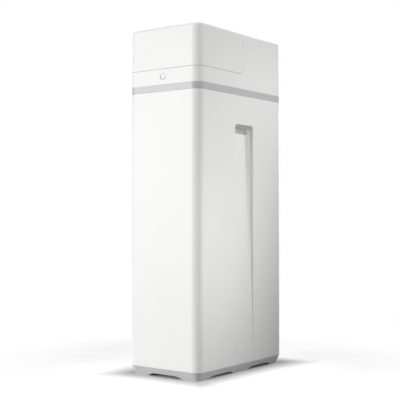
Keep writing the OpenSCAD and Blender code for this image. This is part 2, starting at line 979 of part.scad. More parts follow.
module control_panel() {
    color("slategray") difference() {
        translate([0, panel_y, z_top - panel_t]) linear_extrude(panel_t) plan(panel_w, panel_d, panel_r);
        translate([0, window_y, z_top - panel_t - over]) linear_extrude(panel_t + 2 * over)
            square([window_w + 2 * panel_clr, window_d + 2 * panel_clr], center = true);
        for (x = key_x) translate([x, key_y, 0]) rod_z(key_r + key_clr, z_top - panel_t - over, z_top + over);
    }
}

module display_window() {
    color("black") translate([0, window_y, z_top - panel_t]) linear_extrude(panel_t)
        square([window_w, window_d], center = true);
}

module display_module() {
    color("dimgray") translate([0, window_y, board_top]) linear_extrude(board_drop - module_gap)
        square([window_w - 2 * module_side, window_d + 2 * module_end], center = true);
}

module display_board() {
    color("darkgreen") {
        translate([0, panel_y, board_top - board_t]) linear_extrude(board_t)
            square([board_w, board_d], center = true);
        for (x = key_x) translate([x, key_y, 0])
            rod_z(switch_r, board_top - slice_t, key_back - key_travel - touch_gap);
    }
}

module key(i) {
    translate([key_x[i], key_y, 0]) {
        rod_z(key_r, key_back, z_top + key_proud);
        rod_z(key_r + key_flange, key_back, key_back + key_flange_t);
    }
}
module menu_key() { color("whitesmoke") key(0); }
module down_key() { color("whitesmoke") key(1); }
module up_key() { color("whitesmoke") key(2); }
module regen_key() { color("whitesmoke") key(3); }

// Low-voltage socket in the back of the head
module power_jack() {
    skin = skin_back(jack_z) + skin_gap;
    inner = skin - head_wall - 2 * skin_gap;
    color("black") translate([jack_x, 0, jack_z]) difference() {
        union() {
            rod_y(jack_r + jack_rim, skin, skin + jack_rim_t);
            rod_y(jack_r, inner - jack_l, skin + jack_rim_t);
            rod_y(jack_r + jack_rim, inner - jack_nut_t, inner);
        }
        rod_y(jack_bore, skin - jack_bore_d, skin + jack_rim_t + over);
    }
}

module cover_screws() {
    skin = skin_back(cover_screw_z) + skin_gap;
    color("silver") both_sides() translate([cover_screw_x, 0, cover_screw_z]) {
        rod_y(screw_r, skin - head_wall - lip_t, skin + cover_screw_head);
        rod_y(2 * screw_r, skin, skin + cover_screw_head);
    }
}

// Resin tank

// Half outline of the tank, drawn in by a distance
module tank_outline(inset) {
    low = tank_z + knuckle_r;
    intersection() {
        translate([0, tank_z]) square([tank_r, z_neck - tank_z]);
        union() {
            translate([0, tank_z + inset]) square([tank_r - knuckle_r, shoulder_z - tank_z]);
            translate([0, low]) square([tank_r - inset, shoulder_z - low]);
            translate([tank_r - knuckle_r, low]) circle(knuckle_r - inset);
            translate([neck_r, shoulder_z]) circle(shoulder_r - inset);
            translate([0, shoulder_z - over]) square([neck_r, shoulder_r - inset + over]);
        }
    }
}

module resin_tank() {
    color("royalblue") at_tank() difference() {
        union() {
            rotate_extrude() tank_outline(0);
            rod_z(neck_r, shoulder_z + shoulder_r - over, z_neck);
        }
        rotate_extrude() tank_outline(tank_t);
        rod_z(neck_bore, shoulder_z, z_neck + over);
    }
}

module tank_boot() {
    color("black") at_tank() difference() {
        rod_z(boot_r, z_floor, z_floor + boot_h);
        rod_z(boot_r - boot_t, tank_z, z_floor + boot_h + over);
    }
}

module resin_bed() {
    color("goldenrod") at_tank() difference() {
        rotate_extrude() intersection() {
            tank_outline(tank_t + touch_gap);
            translate([0, tank_z]) square([tank_r, resin_h]);
        }
        rod_z(riser_r + touch_gap, tank_z, tank_z + resin_h + over);
        rod_z(strainer_r + touch_gap, tank_z, distributor_z + distributor_h + touch_gap);
    }
}

module riser_tube() {
    color("ivory") at_tank() difference() {
        rod_z(riser_r, distributor_z + distributor_h - riser_seat, riser_top);
        rod_z(riser_bore, distributor_z, riser_top + over);
    }
}

// Narrow upright slots through the wall of a strainer
module strainer_slots(z0, z1) {
    reach = strainer_r + over;
    for (a = [0:30:150]) rotate(a) block([-reach, -slot_half, z0], [reach, slot_half, z1]);
}

module bottom_distributor() {
    seat = distributor_z + distributor_h - riser_seat;
    color("gray") at_tank() difference() {
        rod_z(strainer_r, distributor_z, distributor_z + distributor_h);
        rod_z(strainer_r - strainer_t, distributor_z + strainer_t, seat - seat_t);
        rod_z(riser_bore, distributor_z + strainer_t, seat);
        rod_z(riser_r + riser_clr, seat, seat + riser_seat + over);
        strainer_slots(distributor_z + 2 * strainer_t, seat - seat_t - strainer_t);
    }
}

module top_strainer() {
    top = z_neck - spigot_h;
    color("gray") at_tank() difference() {
        rod_z(strainer_r, top - strainer_h, top);
        rod_z(riser_r + riser_clr, top - strainer_h - over, top + over);
        difference() {
            rod_z(strainer_r - strainer_t, top - strainer_h + strainer_t, top + over);
            rod_z(riser_r + strainer_t, top - strainer_h, top + over);
        }
        difference() {
            strainer_slots(top - strainer_h + 2 * strainer_t, top - strainer_lid);
            rod_z(riser_r + strainer_t, top - strainer_h, top);
        }
    }
}

// Control valve

module at_screws() {
    for (i = [0:screw_n - 1]) rotate(i * 360 / screw_n) translate([screw_pitch_r, 0, 0]) children();
}

module valve_body() {
    color("black") at_tank() difference() {
        union() {
            rod_z(spigot_r, z_neck - spigot_h, z_neck + over);
            rod_z(valve_flange_r, z_neck, valve_z);
            rod_z(valve_r, valve_z - over, chamber_top);
            block([-manifold_x, -manifold_front, port_z - manifold_h],
                  [manifold_x, manifold_back, port_z + manifold_h]);
            for (s = [-1, 1]) translate([s * port_x, 0, port_z]) {
                rod_y(port_r, 0, port_len);
                rod_y(port_flange_r, port_len - port_flange_t, port_len);
            }
            translate([0, 0, side_z]) rod_x(boss_r, -side_x, side_x);
            translate([0, 0, port_z]) rod_y(injector_r, injector_y, 0);
        }
        rod_z(riser_r + riser_clr, z_neck - spigot_h - over, riser_top + riser_room);
        rod_z(chamber_r, chamber_z, chamber_top + over);
        for (s = [-1, 1]) {
            translate([s * port_x, 0, port_z]) rod_y(port_bore, -manifold_front / 2, port_len + over);
            translate([s * passage_x, 0, 0]) rod_z(passage_r, port_z, chamber_z + over);
        }
        translate([0, 0, side_z]) rod_x(side_bore, -side_x - over, -riser_r - side_wall);
        translate([0, 0, side_z]) rod_x(drain_bore, riser_r + side_wall, side_x + over);
        translate([0, 0, port_z]) rod_y(injector_bore, injector_y - over, injector_y + injector_d);
        difference() {
            rod_z(ring_r + ring_half, z_neck - over, z_neck + 2 * ring_half);
            rod_z(ring_r - ring_half, z_neck - 2 * over, z_neck + 2 * ring_half + over);
        }
        at_screws() rod_z(screw_r + screw_clr, chamber_top - screw_bite - screw_room, chamber_top + over);
    }
}

module neck_oring() {
    color("black") at_tank() translate([0, 0, z_neck + ring_half]) rotate_extrude()
        translate([ring_r, 0]) circle(ring_section);
}

module fixed_disc() {
    color("white") at_tank() difference() {
        rod_z(chamber_r - touch_gap, chamber_z, chamber_z + disc_t);
        for (a = [0:90:270]) rotate(a) translate([disc_hole_x, 0, 0])
            rod_z(disc_hole_r, chamber_z - over, chamber_z + disc_t + over);
    }
}

// Ceramic disc with a curved slot that joins two of the ports below it
module moving_disc() {
    z = chamber_z + disc_t;
    color("white") at_tank() difference() {
        rod_z(rotor_r, z, z + disc_t);
        translate([0, 0, z - over]) rotate_extrude(angle = 90) translate([disc_hole_x - disc_hole_r, 0])
            square([2 * disc_hole_r, disc_slot_d + over]);
        rotate(180) translate([disc_hole_x, 0, 0]) rod_z(disc_hole_r, z - over, z + disc_t + over);
    }
}

module rotor_shaft() {
    z = chamber_z + 2 * disc_t;
    color("ivory") at_tank() {
        rod_z(rotor_r, z, z + rotor_t);
        rod_z(2 * shaft_r, z, bonnet_z - touch_gap);
        rod_z(shaft_r, z, gear_z + gear_t + shaft_up);
    }
}

// Cover of the rotor chamber, with the arm that carries the motor
module valve_bonnet() {
    color("dimgray") at_tank() difference() {
        union() {
            rod_z(valve_r, bonnet_z, bonnet_z + bonnet_t);
            block([-arm_r, -drive_a, motor_top], [arm_r, 0, bonnet_z + bonnet_t]);
            translate([0, -drive_a, 0]) rod_z(arm_r, motor_top, bonnet_z + bonnet_t);
        }
        rod_z(shaft_r + run_clr, bonnet_z - over, bonnet_z + bonnet_t + over);
        translate([0, -drive_a, 0])
            rod_z(motor_shaft_r + shaft_room, motor_top - over, bonnet_z + bonnet_t + over);
        at_screws() rod_z(screw_r + screw_clr, bonnet_z - over, bonnet_z + bonnet_t + over);
    }
}

module bonnet_screws() {
    top = bonnet_z + bonnet_t;
    color("silver") at_tank() at_screws() difference() {
        union() {
            rod_z(screw_r, chamber_top - screw_bite, top + screw_head_h);
            rod_z(1.8 * screw_r, top, top + screw_head_h);
        }
        translate([0, 0, top + screw_head_h / 3]) cylinder(r = screw_r, h = screw_head_h, $fn = 6);
    }
}

// Drive

// Outline of a spur gear with involute flanks
function inv(a) = tan(a) * 180 / PI - a;
function polar(r, a) = [r * cos(a), r * sin(a)];
function roll(r, rp) = inv(acos(min(1, rp * cos(press_angle) / r)));
function half_tooth(r, rp, n) = 90 / n - backlash / 4 / rp * 180 / PI + inv(press_angle) - roll(r, rp);
function flank(n, rp) =
    let (rb = rp * cos(press_angle), root = rp - dedendum, r0 = max(rb, root), r1 = rp + addendum)
    concat(
        rb > root ? [[root, half_tooth(rb, rp, n)]] : [],
        [for (i = [0:4]) let (r = r0 + (r1 - r0) * i / 4) [r, half_tooth(r, rp, n)]]
    );
function tooth(n, rp, a) =
    let (f = flank(n, rp), m = len(f) - 1)
    concat(
        [for (i = [0:m]) polar(f[i][0], a - f[i][1])],
        [for (i = [m:-1:0]) polar(f[i][0], a + f[i][1])]
    );
module gear_outline(n) { polygon([for (k = [0:n - 1]) each tooth(n, tooth_m * n / 2, k * 360 / n)]); }

module drive_gear() {
    web_r = tooth_m * gear_n / 2 - dedendum - gear_rim;
    color("ivory") at_tank() difference() {
        translate([0, 0, gear_z]) linear_extrude(gear_t) gear_outline(gear_n);
        rod_z(shaft_r + shaft_clr, gear_z - over, gear_z + gear_t + over);
        difference() {
            rod_z(web_r, gear_z + gear_t / 2, gear_z + gear_t + over);
            rod_z(2 * shaft_r, gear_z, gear_z + gear_t + 2 * over);
        }
    }
}

// Half a tooth pitch of turn brings a gap of the pinion to the tooth of the gear
module motor_pinion() {
    color("silver") at_tank() translate([0, -drive_a, 0]) {
        translate([0, 0, gear_z - over]) rotate(90 + 180 / pinion_n) linear_extrude(gear_t + 2 * over)
            gear_outline(pinion_n);
        rod_z(motor_shaft_r, motor_top - motor_l / 2, gear_z);
    }
}

module drive_motor() {
    color("silver") at_tank() translate([0, -drive_a, 0]) difference() {
        union() {
            rod_z(motor_r, motor_top - motor_l + motor_boss_h, motor_top);
            rod_z(motor_r - motor_boss_in, motor_top - motor_l, motor_top);
        }
        rod_z(motor_shaft_r + run_clr, motor_top - motor_l / 2 - touch_gap, motor_top + over);
    }
}

// Fittings on the valve

module injector_cap() {
    color("dimgray") at_tank() translate([0, 0, port_z]) difference() {
        union() {
            rod_y(injector_r + cap_rim, injector_y - cap_t, injector_y);
            rod_y(injector_bore - touch_gap, injector_y - over, injector_y + cap_plug);
        }
        translate([0, injector_y - cap_t - over, 0]) rotate([-90, 0, 0])
            cylinder(r = cap_hex_r, h = cap_hex_d + over, $fn = 6);
    }
}

// Venturi nozzle that draws the brine: two tapered bores that meet at a throat
module injector_nozzle() {
    y0 = injector_y + cap_plug;
    color("red") at_tank() translate([0, 0, port_z]) difference() {
        rod_y(injector_bore - touch_gap, y0, injector_y + injector_d - touch_gap);
        translate([0, y0 - slice_t, 0]) rotate([-90, 0, 0])
            cylinder(r1 = nozzle_in_r, r2 = throat_r, h = nozzle_in_l);
        translate([0, y0 + nozzle_in_l - nozzle_lap, 0]) rotate([-90, 0, 0])
            cylinder(r1 = throat_r, r2 = nozzle_out_r, h = nozzle_out_l);
    }
}

module brine_fitting() {
    color("white") at_tank() translate([0, 0, side_z]) difference() {
        union() {
            translate([-side_x - fitting_l, 0, 0]) rotate([0, 90, 0])
                cylinder(r = boss_r - fitting_nut_in, h = fitting_l - fitting_neck, $fn = 6);
            rod_x(boss_r - fitting_neck_in, -side_x - fitting_neck - over, -side_x);
        }
        rod_x(tube_r + tube_clr, -side_x - fitting_l - over, -side_x - fitting_neck);
        rod_x(fitting_bore, -side_x - fitting_neck - over, -side_x + over);
    }
}

// Barbs that hold a hose on a round end of radius r, from its tip upwards
module barbs(r, tip) {
    for (i = [0:barb_n - 1]) translate([0, 0, tip + i * barb_pitch])
        cylinder(r1 = r, r2 = r + barb, h = barb_l);
}

// Elbow that turns the drain line to the back, with a barbed hose end
module drain_fitting() {
    reach = drain_end - tank_y;
    color("dimgray") at_tank() translate([0, 0, side_z]) difference() {
        union() {
            rod_x(boss_r, side_x, side_x + drain_flange_t);
            rod_x(drain_r, side_x, drain_x);
            translate([drain_x, 0, 0]) sphere(drain_r);
            translate([drain_x, 0, 0]) rod_y(drain_r, 0, reach);
            translate([drain_x, reach, 0]) rotate([90, 0, 0]) barbs(drain_r, drain_tip);
        }
        rod_x(drain_bore, side_x - over, drain_x);
        translate([drain_x, 0, 0]) sphere(drain_bore);
        translate([drain_x, 0, 0]) rod_y(drain_bore, 0, reach + over);
    }
}

// Three-armed carrier with the axle of the flow meter, in the outlet port
module meter_spider() {
    r = port_bore - touch_gap;
    y0 = port_len - spider_set - spider_t;
    y1 = port_len - spider_set;
    color("ivory") at_tank() translate([-port_x, 0, port_z]) {
        difference() {
            rod_y(r, y0, y1);
            rod_y(r - spider_wall, y0 - over, y1 + over);
        }
        for (a = [0:120:240]) rotate([0, a, 0])
            block([axle_r, y0 + spider_hub, -spider_wall / 2],
                  [r - spider_wall / 2, y1 - spider_hub, spider_wall / 2]);
        rod_y(2.5 * axle_r, y0 - spider_hub, y1 + spider_hub);
        rod_y(axle_r, turbine_y - touch_gap - axle_past, y0);
    }
}

// Pitched blades on a hub that spins on the axle
module meter_turbine() {
    mid = turbine_l / 2;
    color("deepskyblue") at_tank() translate([-port_x, turbine_y, port_z]) rotate([-90, 0, 0]) difference() {
        union() {
            rod_z(turbine_hub, 0, turbine_l);
            for (a = [0:60:300]) rotate(a) intersection() {
                translate([0, 0, mid]) rotate([blade_pitch, 0, 0])
                    block([axle_r, -blade_t / 2, -turbine_l], [port_bore, blade_t / 2, turbine_l]);
                rod_z(port_bore - blade_clr, mid - blade_l / 2, mid + blade_l / 2);
            }
        }
        rod_z(axle_r + run_clr, -over, turbine_l + over);
    }
}

// Bypass and pipe ends

module bypass_body() {
    mid = bypass_l / 2;
    color("black") translate([0, bypass_y, port_z]) difference() {
        union() {
            for (s = [-1, 1]) translate([s * port_x, 0, 0]) {
                rod_y(port_r, 0, bypass_l);
                rod_y(port_flange_r, 0, port_flange_t);
                translate([0, mid, 0]) rod_z(plug_r + plug_wall, -port_r, housing_up);
            }
            translate([0, mid, 0]) rod_x(port_r - cross_in, -port_x, port_x);
        }
        for (s = [-1, 1]) translate([s * port_x, 0, 0]) {
            rod_y(port_bore, -over, bypass_l + over);
            translate([0, mid, 0]) rod_z(plug_r + run_clr, plug_floor - port_r, housing_up + over);
        }
        translate([0, mid, 0]) rod_x(port_bore - cross_bore_in, -port_x, port_x);
    }
}

// Plug of a bypass valve with its flow bore and its round-ended bar handle
module bypass_plug(x) {
    bar_z = housing_up + handle_base - over;
    bar_top = housing_up + handle_h;
    bar_end = (handle_l - handle_w) / 2;
    color("firebrick") translate([x, plug_y, port_z]) difference() {
        union() {
            rod_z(plug_r, plug_floor - port_r + touch_gap, housing_up + touch_gap + over);
            rod_z(plug_r + plug_wall, housing_up + touch_gap, housing_up + handle_base);
            block([-handle_w / 2, -bar_end, bar_z], [handle_w / 2, bar_end, bar_top]);
            for (y = [-bar_end, bar_end]) translate([0, y, 0]) rod_z(handle_w / 2, bar_z, bar_top);
        }
        rod_y(port_bore - plug_bore_in, -plug_r - over, plug_r + over);
    }
}
module inlet_handle() { bypass_plug(port_x); }
module outlet_handle() { bypass_plug(-port_x); }

// Open rings that hold the bypass to the valve ports
module coupling_clips() {
    inner = port_flange_r + touch_gap;
    half = port_flange_t + fit_clr;
    color("ivory") for (s = [-1, 1]) translate([s * port_x, bypass_y, port_z]) difference() {
        rod_y(inner + clip_t, -half - clip_lip, half + clip_lip);
        rod_y(inner, -half, half);
        rod_y(port_r + touch_gap, -half - clip_lip - over, half + clip_lip + over);
        block([-clip_mouth, -half - clip_lip - over, -inner - clip_t - over],
              [clip_mouth, half + clip_lip + over, 0]);
    }
}

// Ribbed nuts that pull the pipe adapters onto the bypass
module union_nuts() {
    y0 = adapter_y - nut_over;
    color("black") for (s = [-1, 1]) translate([s * port_x, 0, port_z]) difference() {
        rod_y(nut_r, y0, nut_end);
        rod_y(port_r + fit_clr, y0 - over, nut_end - nut_lip);
        rod_y(thread_r + fit_clr, y0, nut_end + over);
        for (a = [0:30:330]) rotate([0, a, 0]) translate([nut_r + flute_out, 0, 0])
            rod_y(flute_r, y0 - over, nut_end + over);
    }
}

module pipe_adapter(x) {
    color("goldenrod") translate([x, 0, port_z]) difference() {
        union() {
            rod_y(port_r - touch_gap, adapter_y, adapter_y + adapter_flange_t);
            rod_y(thread_r - thread_relief, adapter_y, nut_end + over);
            rod_y(thread_r, nut_end, thread_end);
        }
        rod_y(adapter_bore, adapter_y - over, thread_end + over);
    }
}
module inlet_adapter() { pipe_adapter(port_x); }
module outlet_adapter() { pipe_adapter(-port_x); }

// Brine gear

module salt_grid() {
    half_x = cab_w / 2 - wall - grid_clr;
    front = front_y + wall + grid_clr;
    tank_hole = boot_r + grid_tank_room;
    well_hole = well_r + grid_well_room;
    leg_x = half_x - grid_leg_r - grid_leg_edge;
    leg_back = grid_back - grid_leg_r - grid_leg_end;
    legs = [
        [leg_x, front + cab_r], [-leg_x, front + cab_r], [leg_x, 0], [0, -well_fwd / 2],
        [leg_x, leg_back], [-leg_x, leg_back]
    ];
    columns = floor((half_x - grid_hole_edge) / grid_pitch);
    first_row = ceil((front + grid_hole_edge) / grid_pitch);
    last_row = floor((grid_back - grid_hole_edge) / grid_pitch);
    holes = [for (x = [-columns:columns], y = [first_row:last_row]) [x * grid_pitch, y * grid_pitch]];
    open = [for (p = holes) if (
        norm(p - [0, tank_y]) > tank_hole + grid_hole_room
        && norm(p - [well_x, well_y]) > well_hole + grid_hole_room
        && min([for (l = legs) norm(p - l)]) > grid_leg_r + grid_leg_room) p];
    color("white") difference() {
        union() {
            intersection() {
                cab_prism(wall + grid_clr, grid_z, grid_z + grid_t);
                block([-cab_w, front_y, grid_z - over], [cab_w, grid_back, grid_z + grid_t + over]);
            }
            for (l = legs) translate(l) rod_z(grid_leg_r, z_floor, grid_z + over);
        }
        at_tank() rod_z(tank_hole, grid_z - over, grid_z + grid_t + over);
        translate([well_x, well_y, 0]) rod_z(well_hole, grid_z - over, grid_z + grid_t + over);
        for (p = open) translate(p) rod_z(grid_hole_r, grid_z - over, grid_z + grid_t + over);
        for (l = legs) translate(l) rod_z(grid_leg_r - grid_leg_t, z_floor - over, grid_z);
    }
}

module brine_well() {
    color("ghostwhite") translate([well_x, well_y, 0]) difference() {
        rod_z(well_r, z_floor, well_top);
        rod_z(well_r - well_t, z_floor - over, well_top + over);
        for (a = [0:45:135], i = [1, 2]) translate([0, 0, z_floor + i * well_hole_pitch]) rotate(a)
            rod_x(well_hole_r, -well_r - over, well_r + over);
        translate([-drop_out, 0, tube_run_z]) rotate(run_turn) {
            half = tube_r + well_slot_clr;
            rod_y(half, 0, well_r + over);
            block([-half, 0, 0], [half, well_r + over, well_top - tube_run_z + over]);
        }
    }
}

module well_cap() {
    plug = well_r - well_t - well_cap_clr;
    color("gainsboro") translate([well_x, well_y, 0]) difference() {
        union() {
            rod_z(well_r + well_cap_rim, well_top, well_top + well_cap_t);
            rod_z(plug, well_top - well_cap_plug, well_top + over);
        }
        rod_z(plug - well_cap_wall, well_top - well_cap_plug - over, well_top + well_cap_t - well_cap_roof);
    }
}

// Air check and shut-off at the foot of the brine tube, with the guide of the float rod
module brine_valve() {
    nut_z = brine_valve_top - brine_nut_h;
    across = brine_valve_r + over;
    rod_at = float_x - drop_x;
    color("ivory") translate([drop_x, well_y, 0]) difference() {
        union() {
            rod_z(brine_valve_r, z_floor, nut_z);
            translate([0, 0, nut_z - over])
                cylinder(r = brine_valve_r - brine_nut_in, h = brine_nut_h + over, $fn = 6);
            block([0, -web_half, guide_z], [rod_at, web_half, guide_z + guide_h]);
            translate([rod_at, 0, 0]) rod_z(rod_r + guide_wall, guide_z, guide_z + guide_h);
        }
        rod_z(tube_r + tube_clr, brine_valve_top - tube_seat, brine_valve_top + over);
        rod_z(brine_bore, z_floor + brine_sump, brine_valve_top);
        for (a = [0, 90]) translate([0, 0, z_floor + brine_inlet_rise]) rotate(a)
            rod_x(brine_inlet_r, -across, across);
        translate([rod_at, 0, 0]) rod_z(rod_r + guide_clr, guide_z + guide_floor, guide_z + guide_h + over);
    }
}

module float_rod() {
    color("silver") translate([float_x, well_y, 0]) {
        rod_z(rod_r, guide_z + guide_floor + touch_gap, float_z + float_h + rod_past);
        rod_z(collar_r, float_z - collar_h, float_z);
        rod_z(collar_r, float_z + float_h, float_z + float_h + collar_h);
    }
}

module brine_float() {
    low = float_z + float_edge;
    high = float_z + float_h - float_edge;
    color("tomato") translate([float_x, well_y, 0]) difference() {
        rotate_extrude() {
            translate([0, float_z]) square([float_r - float_edge, float_h]);
            translate([0, low]) square([float_r, high - low]);
            for (z = [low, high]) translate([float_r - float_edge, z]) circle(float_edge);
        }
        rod_z(rod_r + shaft_clr, float_z - over, float_z + float_h + over);
    }
}

// A quarter bend in the XZ plane, from the origin going up and turning to +X
module quarter_bend(r) {
    translate([tube_bend, 0, 0]) rotate([90, 0, 0]) rotate(90) rotate_extrude(angle = 90)
        translate([tube_bend, 0]) circle(r);
}

// Straight runs and quarter bends of the brine line, from the brine valve to the valve's brine port
module brine_route(r, extra) {
    drop_end = tube_run_z - tube_bend;
    rise_start = tube_run_z + tube_bend;
    rise_end = side_z - tube_bend;
    back_start = tube_rise_y + tube_bend;
    back_end = tank_y - tube_bend;
    translate([drop_x, well_y, 0]) {
        rod_z(r, brine_valve_top - tube_seat - extra, drop_end);
        rotate(run_turn) {
            translate([0, 0, drop_end]) rotate(90) quarter_bend(r);
            translate([0, 0, tube_run_z]) rod_y(r, tube_bend, run_l - tube_bend);
            translate([0, run_l, rise_start]) mirror([0, 0, 1]) rotate(-90) quarter_bend(r);
        }
    }
    translate([tube_x, tube_rise_y, 0]) {
        rod_z(r, rise_start, rise_end);
        translate([0, 0, rise_end]) rotate(90) quarter_bend(r);
    }
    translate([tube_x, 0, side_z]) {
        rod_y(r, back_start, back_end);
        translate([0, back_end, 0]) rotate([-90, 0, 0]) quarter_bend(r);
    }
    translate([0, tank_y, side_z]) rod_x(r, tube_x + tube_bend, -side_x - fitting_neck - touch_gap + extra);
}

module brine_tube() {
    color("white") difference() {
        brine_route(tube_r, 0);
        brine_route(tube_r - tube_t, over);
    }
}

// Overflow elbow in the back wall, with a hose end that points down
module overflow_elbow() {
    inner = back_y - wall;
    out = back_y + overflow_bend;
    bore = overflow_r - overflow_t;
    color("dimgray") translate([overflow_x, 0, overflow_z]) difference() {
        union() {
            rod_y(overflow_flange_r, inner - overflow_flange_t, inner);
            rod_y(overflow_r, inner - overflow_flange_t, out);
            translate([0, out, 0]) sphere(overflow_r);
            translate([0, out, 0]) rod_z(overflow_r, -overflow_drop, 0);
            translate([0, out, -overflow_drop]) barbs(overflow_r, overflow_tip);
        }
        rod_y(bore, inner - overflow_flange_t - over, out);
        translate([0, out, 0]) sphere(bore);
        translate([0, out, 0]) rod_z(bore, -overflow_drop - over, 0);
    }
}

module overflow_gasket() {
    color("black") translate([overflow_x, 0, overflow_z]) difference() {
        rod_y(overflow_flange_r, back_y, back_y + gasket_t);
        rod_y(overflow_r + touch_gap, back_y - over, back_y + gasket_t + over);
    }
}

module overflow_nut() {
    color("dimgray") translate([overflow_x, 0, overflow_z]) difference() {
        translate([0, back_y + gasket_t, 0]) rotate([-90, 0, 0])
            cylinder(r = overflow_flange_r, h = overflow_nut_t, $fn = 6);
        rod_y(overflow_r + touch_gap, back_y, back_y + gasket_t + overflow_nut_t + over);
    }
}

base();
cabinet();
trim_band();
head_cover();
salt_lid();
hinge_pins();
button_bezel();
front_button();
button_board();
control_panel();
display_window();
display_module();
display_board();
menu_key();
down_key();
up_key();
regen_key();
power_jack();
cover_screws();
resin_tank();
tank_boot();
resin_bed();
riser_tube();
bottom_distributor();
top_strainer();
valve_body();
neck_oring();
fixed_disc();
moving_disc();
rotor_shaft();
valve_bonnet();
bonnet_screws();
drive_gear();
motor_pinion();
drive_motor();
injector_cap();
injector_nozzle();
brine_fitting();
drain_fitting();
meter_spider();
meter_turbine();
bypass_body();
inlet_handle();
outlet_handle();
coupling_clips();
union_nuts();
inlet_adapter();
outlet_adapter();
salt_grid();
brine_well();
well_cap();
brine_valve();
float_rod();
brine_float();
brine_tube();
overflow_elbow();
overflow_nut();
overflow_gasket();
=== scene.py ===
# Cabinet water softener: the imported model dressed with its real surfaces. Metres, +Z up, front towards -Y.
import math

import bmesh
import bpy
from mathutils import Matrix, Vector


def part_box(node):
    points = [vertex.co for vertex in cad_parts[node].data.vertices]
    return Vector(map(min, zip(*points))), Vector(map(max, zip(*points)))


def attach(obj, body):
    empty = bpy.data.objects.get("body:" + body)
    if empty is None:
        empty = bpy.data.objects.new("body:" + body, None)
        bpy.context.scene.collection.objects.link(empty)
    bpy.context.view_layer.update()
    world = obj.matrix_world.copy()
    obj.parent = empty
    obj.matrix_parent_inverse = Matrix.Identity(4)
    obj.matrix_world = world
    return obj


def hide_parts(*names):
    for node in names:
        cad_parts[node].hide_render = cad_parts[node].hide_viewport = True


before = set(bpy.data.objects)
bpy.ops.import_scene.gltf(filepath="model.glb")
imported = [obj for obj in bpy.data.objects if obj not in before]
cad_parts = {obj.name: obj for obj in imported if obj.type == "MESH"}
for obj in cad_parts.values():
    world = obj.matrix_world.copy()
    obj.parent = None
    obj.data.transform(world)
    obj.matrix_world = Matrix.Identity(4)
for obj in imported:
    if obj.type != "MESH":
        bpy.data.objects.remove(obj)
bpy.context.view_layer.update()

# Plinth
# The grey foot under the cabinet, moulded in polypropylene. It draws in towards the floor, and a low arch
# in each run of its rim leaves it standing on its corners.
mm = 0.001
half_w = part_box("cabinet")[1].x
half_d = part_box("cabinet")[1].y
corner_r = 30 * mm
corner_steps = 12
plinth_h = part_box("base")[1].z
plinth_taper = 13 * mm
plinth_wall = 7 * mm
plinth_deck = 5 * mm
plinth_edge = 0.5 * mm
arch_half = 75 * mm
arch_ramp = 32 * mm
arch_h = 9 * mm
arch_y = 110 * mm
arch_cuts = 7
nearly = 0.01 * mm


def linear(hex_colour):
    """An sRGB hex colour as linear red, green, blue and alpha."""
    parts = [int(hex_colour[i:i + 2], 16) / 255 for i in (1, 3, 5)]
    return [c / 12.92 if c <= 0.04045 else ((c + 0.055) / 1.055) ** 2.4 for c in parts] + [1.0]


def add_node(tree, kind, wires=None, **settings):
    """Adds a node with its settings, and links or sets its inputs."""
    made = tree.nodes.new(kind)
    for key, value in settings.items():
        setattr(made, key, value)
    for socket, value in (wires or {}).items():
        if isinstance(value, bpy.types.NodeSocket):
            tree.links.new(value, made.inputs[socket])
        else:
            made.inputs[socket].default_value = value
    return made


def moulded_plastic(name, pale, deep, roughness, grain_mm=1.5, relief_mm=0.02):
    """Moulded plastic: faint cloudy flow marks in the colour, and an even grain left by the mould."""
    # An etched mould's grain is about 0.2 mm, too fine to show, so grain_mm draws it coarser.
    flow_mm = 160
    gloss_spread = 0.05
    grain_strength = 0.4
    material = bpy.data.materials.new(name)
    material.use_nodes = True
    tree = material.node_tree
    shader = tree.nodes["Principled BSDF"]
    place = add_node(tree, "ShaderNodeTexCoord").outputs["Object"]
    flow = add_node(tree, "ShaderNodeTexNoise", {"Vector": place, "Scale": 1 / (flow_mm * mm), "Detail": 2.0})
    grain = add_node(tree, "ShaderNodeTexNoise",
                     {"Vector": place, "Scale": 1 / (grain_mm * mm), "Detail": 1.0})
    tint = add_node(tree, "ShaderNodeMix", {0: flow.outputs[0], 6: linear(pale), 7: linear(deep)},
                    data_type="RGBA")
    gloss = add_node(tree, "ShaderNodeMapRange", {
        "Value": grain.outputs[0], "To Min": roughness - gloss_spread, "To Max": roughness + gloss_spread})
    bump = add_node(tree, "ShaderNodeBump", {
        "Height": grain.outputs[0], "Strength": grain_strength, "Distance": relief_mm * mm})
    tree.links.new(tint.outputs[2], shader.inputs["Base Color"])
    tree.links.new(gloss.outputs[0], shader.inputs["Roughness"])
    tree.links.new(bump.outputs[0], shader.inputs["Normal"])
    return material


def rounded_face(bm, corners, radius, rounded, steps):
    """A flat face through the corners, with the chosen ones turned into arcs."""
    verts = [bm.verts.new(corner) for corner in corners]
    bm.faces.new(verts)
    made = bmesh.ops.bevel(bm, geom=[verts[i] for i in rounded], affect="VERTICES", offset=radius,
                           segments=steps, profile=0.5, material=-1)
    return made["verts"][0].link_faces[0]


def plan_face(bm, inset, z):
    """The cabinet's rounded plan, drawn in by inset, as a face at height z."""
    x = half_w - inset
    y = half_d - inset
    corners = [(-x, -y, z), (x, -y, z), (x, y, z), (-x, y, z)]
    return rounded_face(bm, corners, corner_r - inset, range(4), corner_steps)


def plan_point(point, inset, z):
    """Where a point of the plan lies when the plan is drawn in by inset, at height z."""
    centre = Vector((math.copysign(half_w - corner_r, point.x), math.copysign(half_d - corner_r, point.y), z))
    away = Vector((point.x - centre.x, point.y - centre.y, 0)).normalized()
    return centre + away * (corner_r - inset)


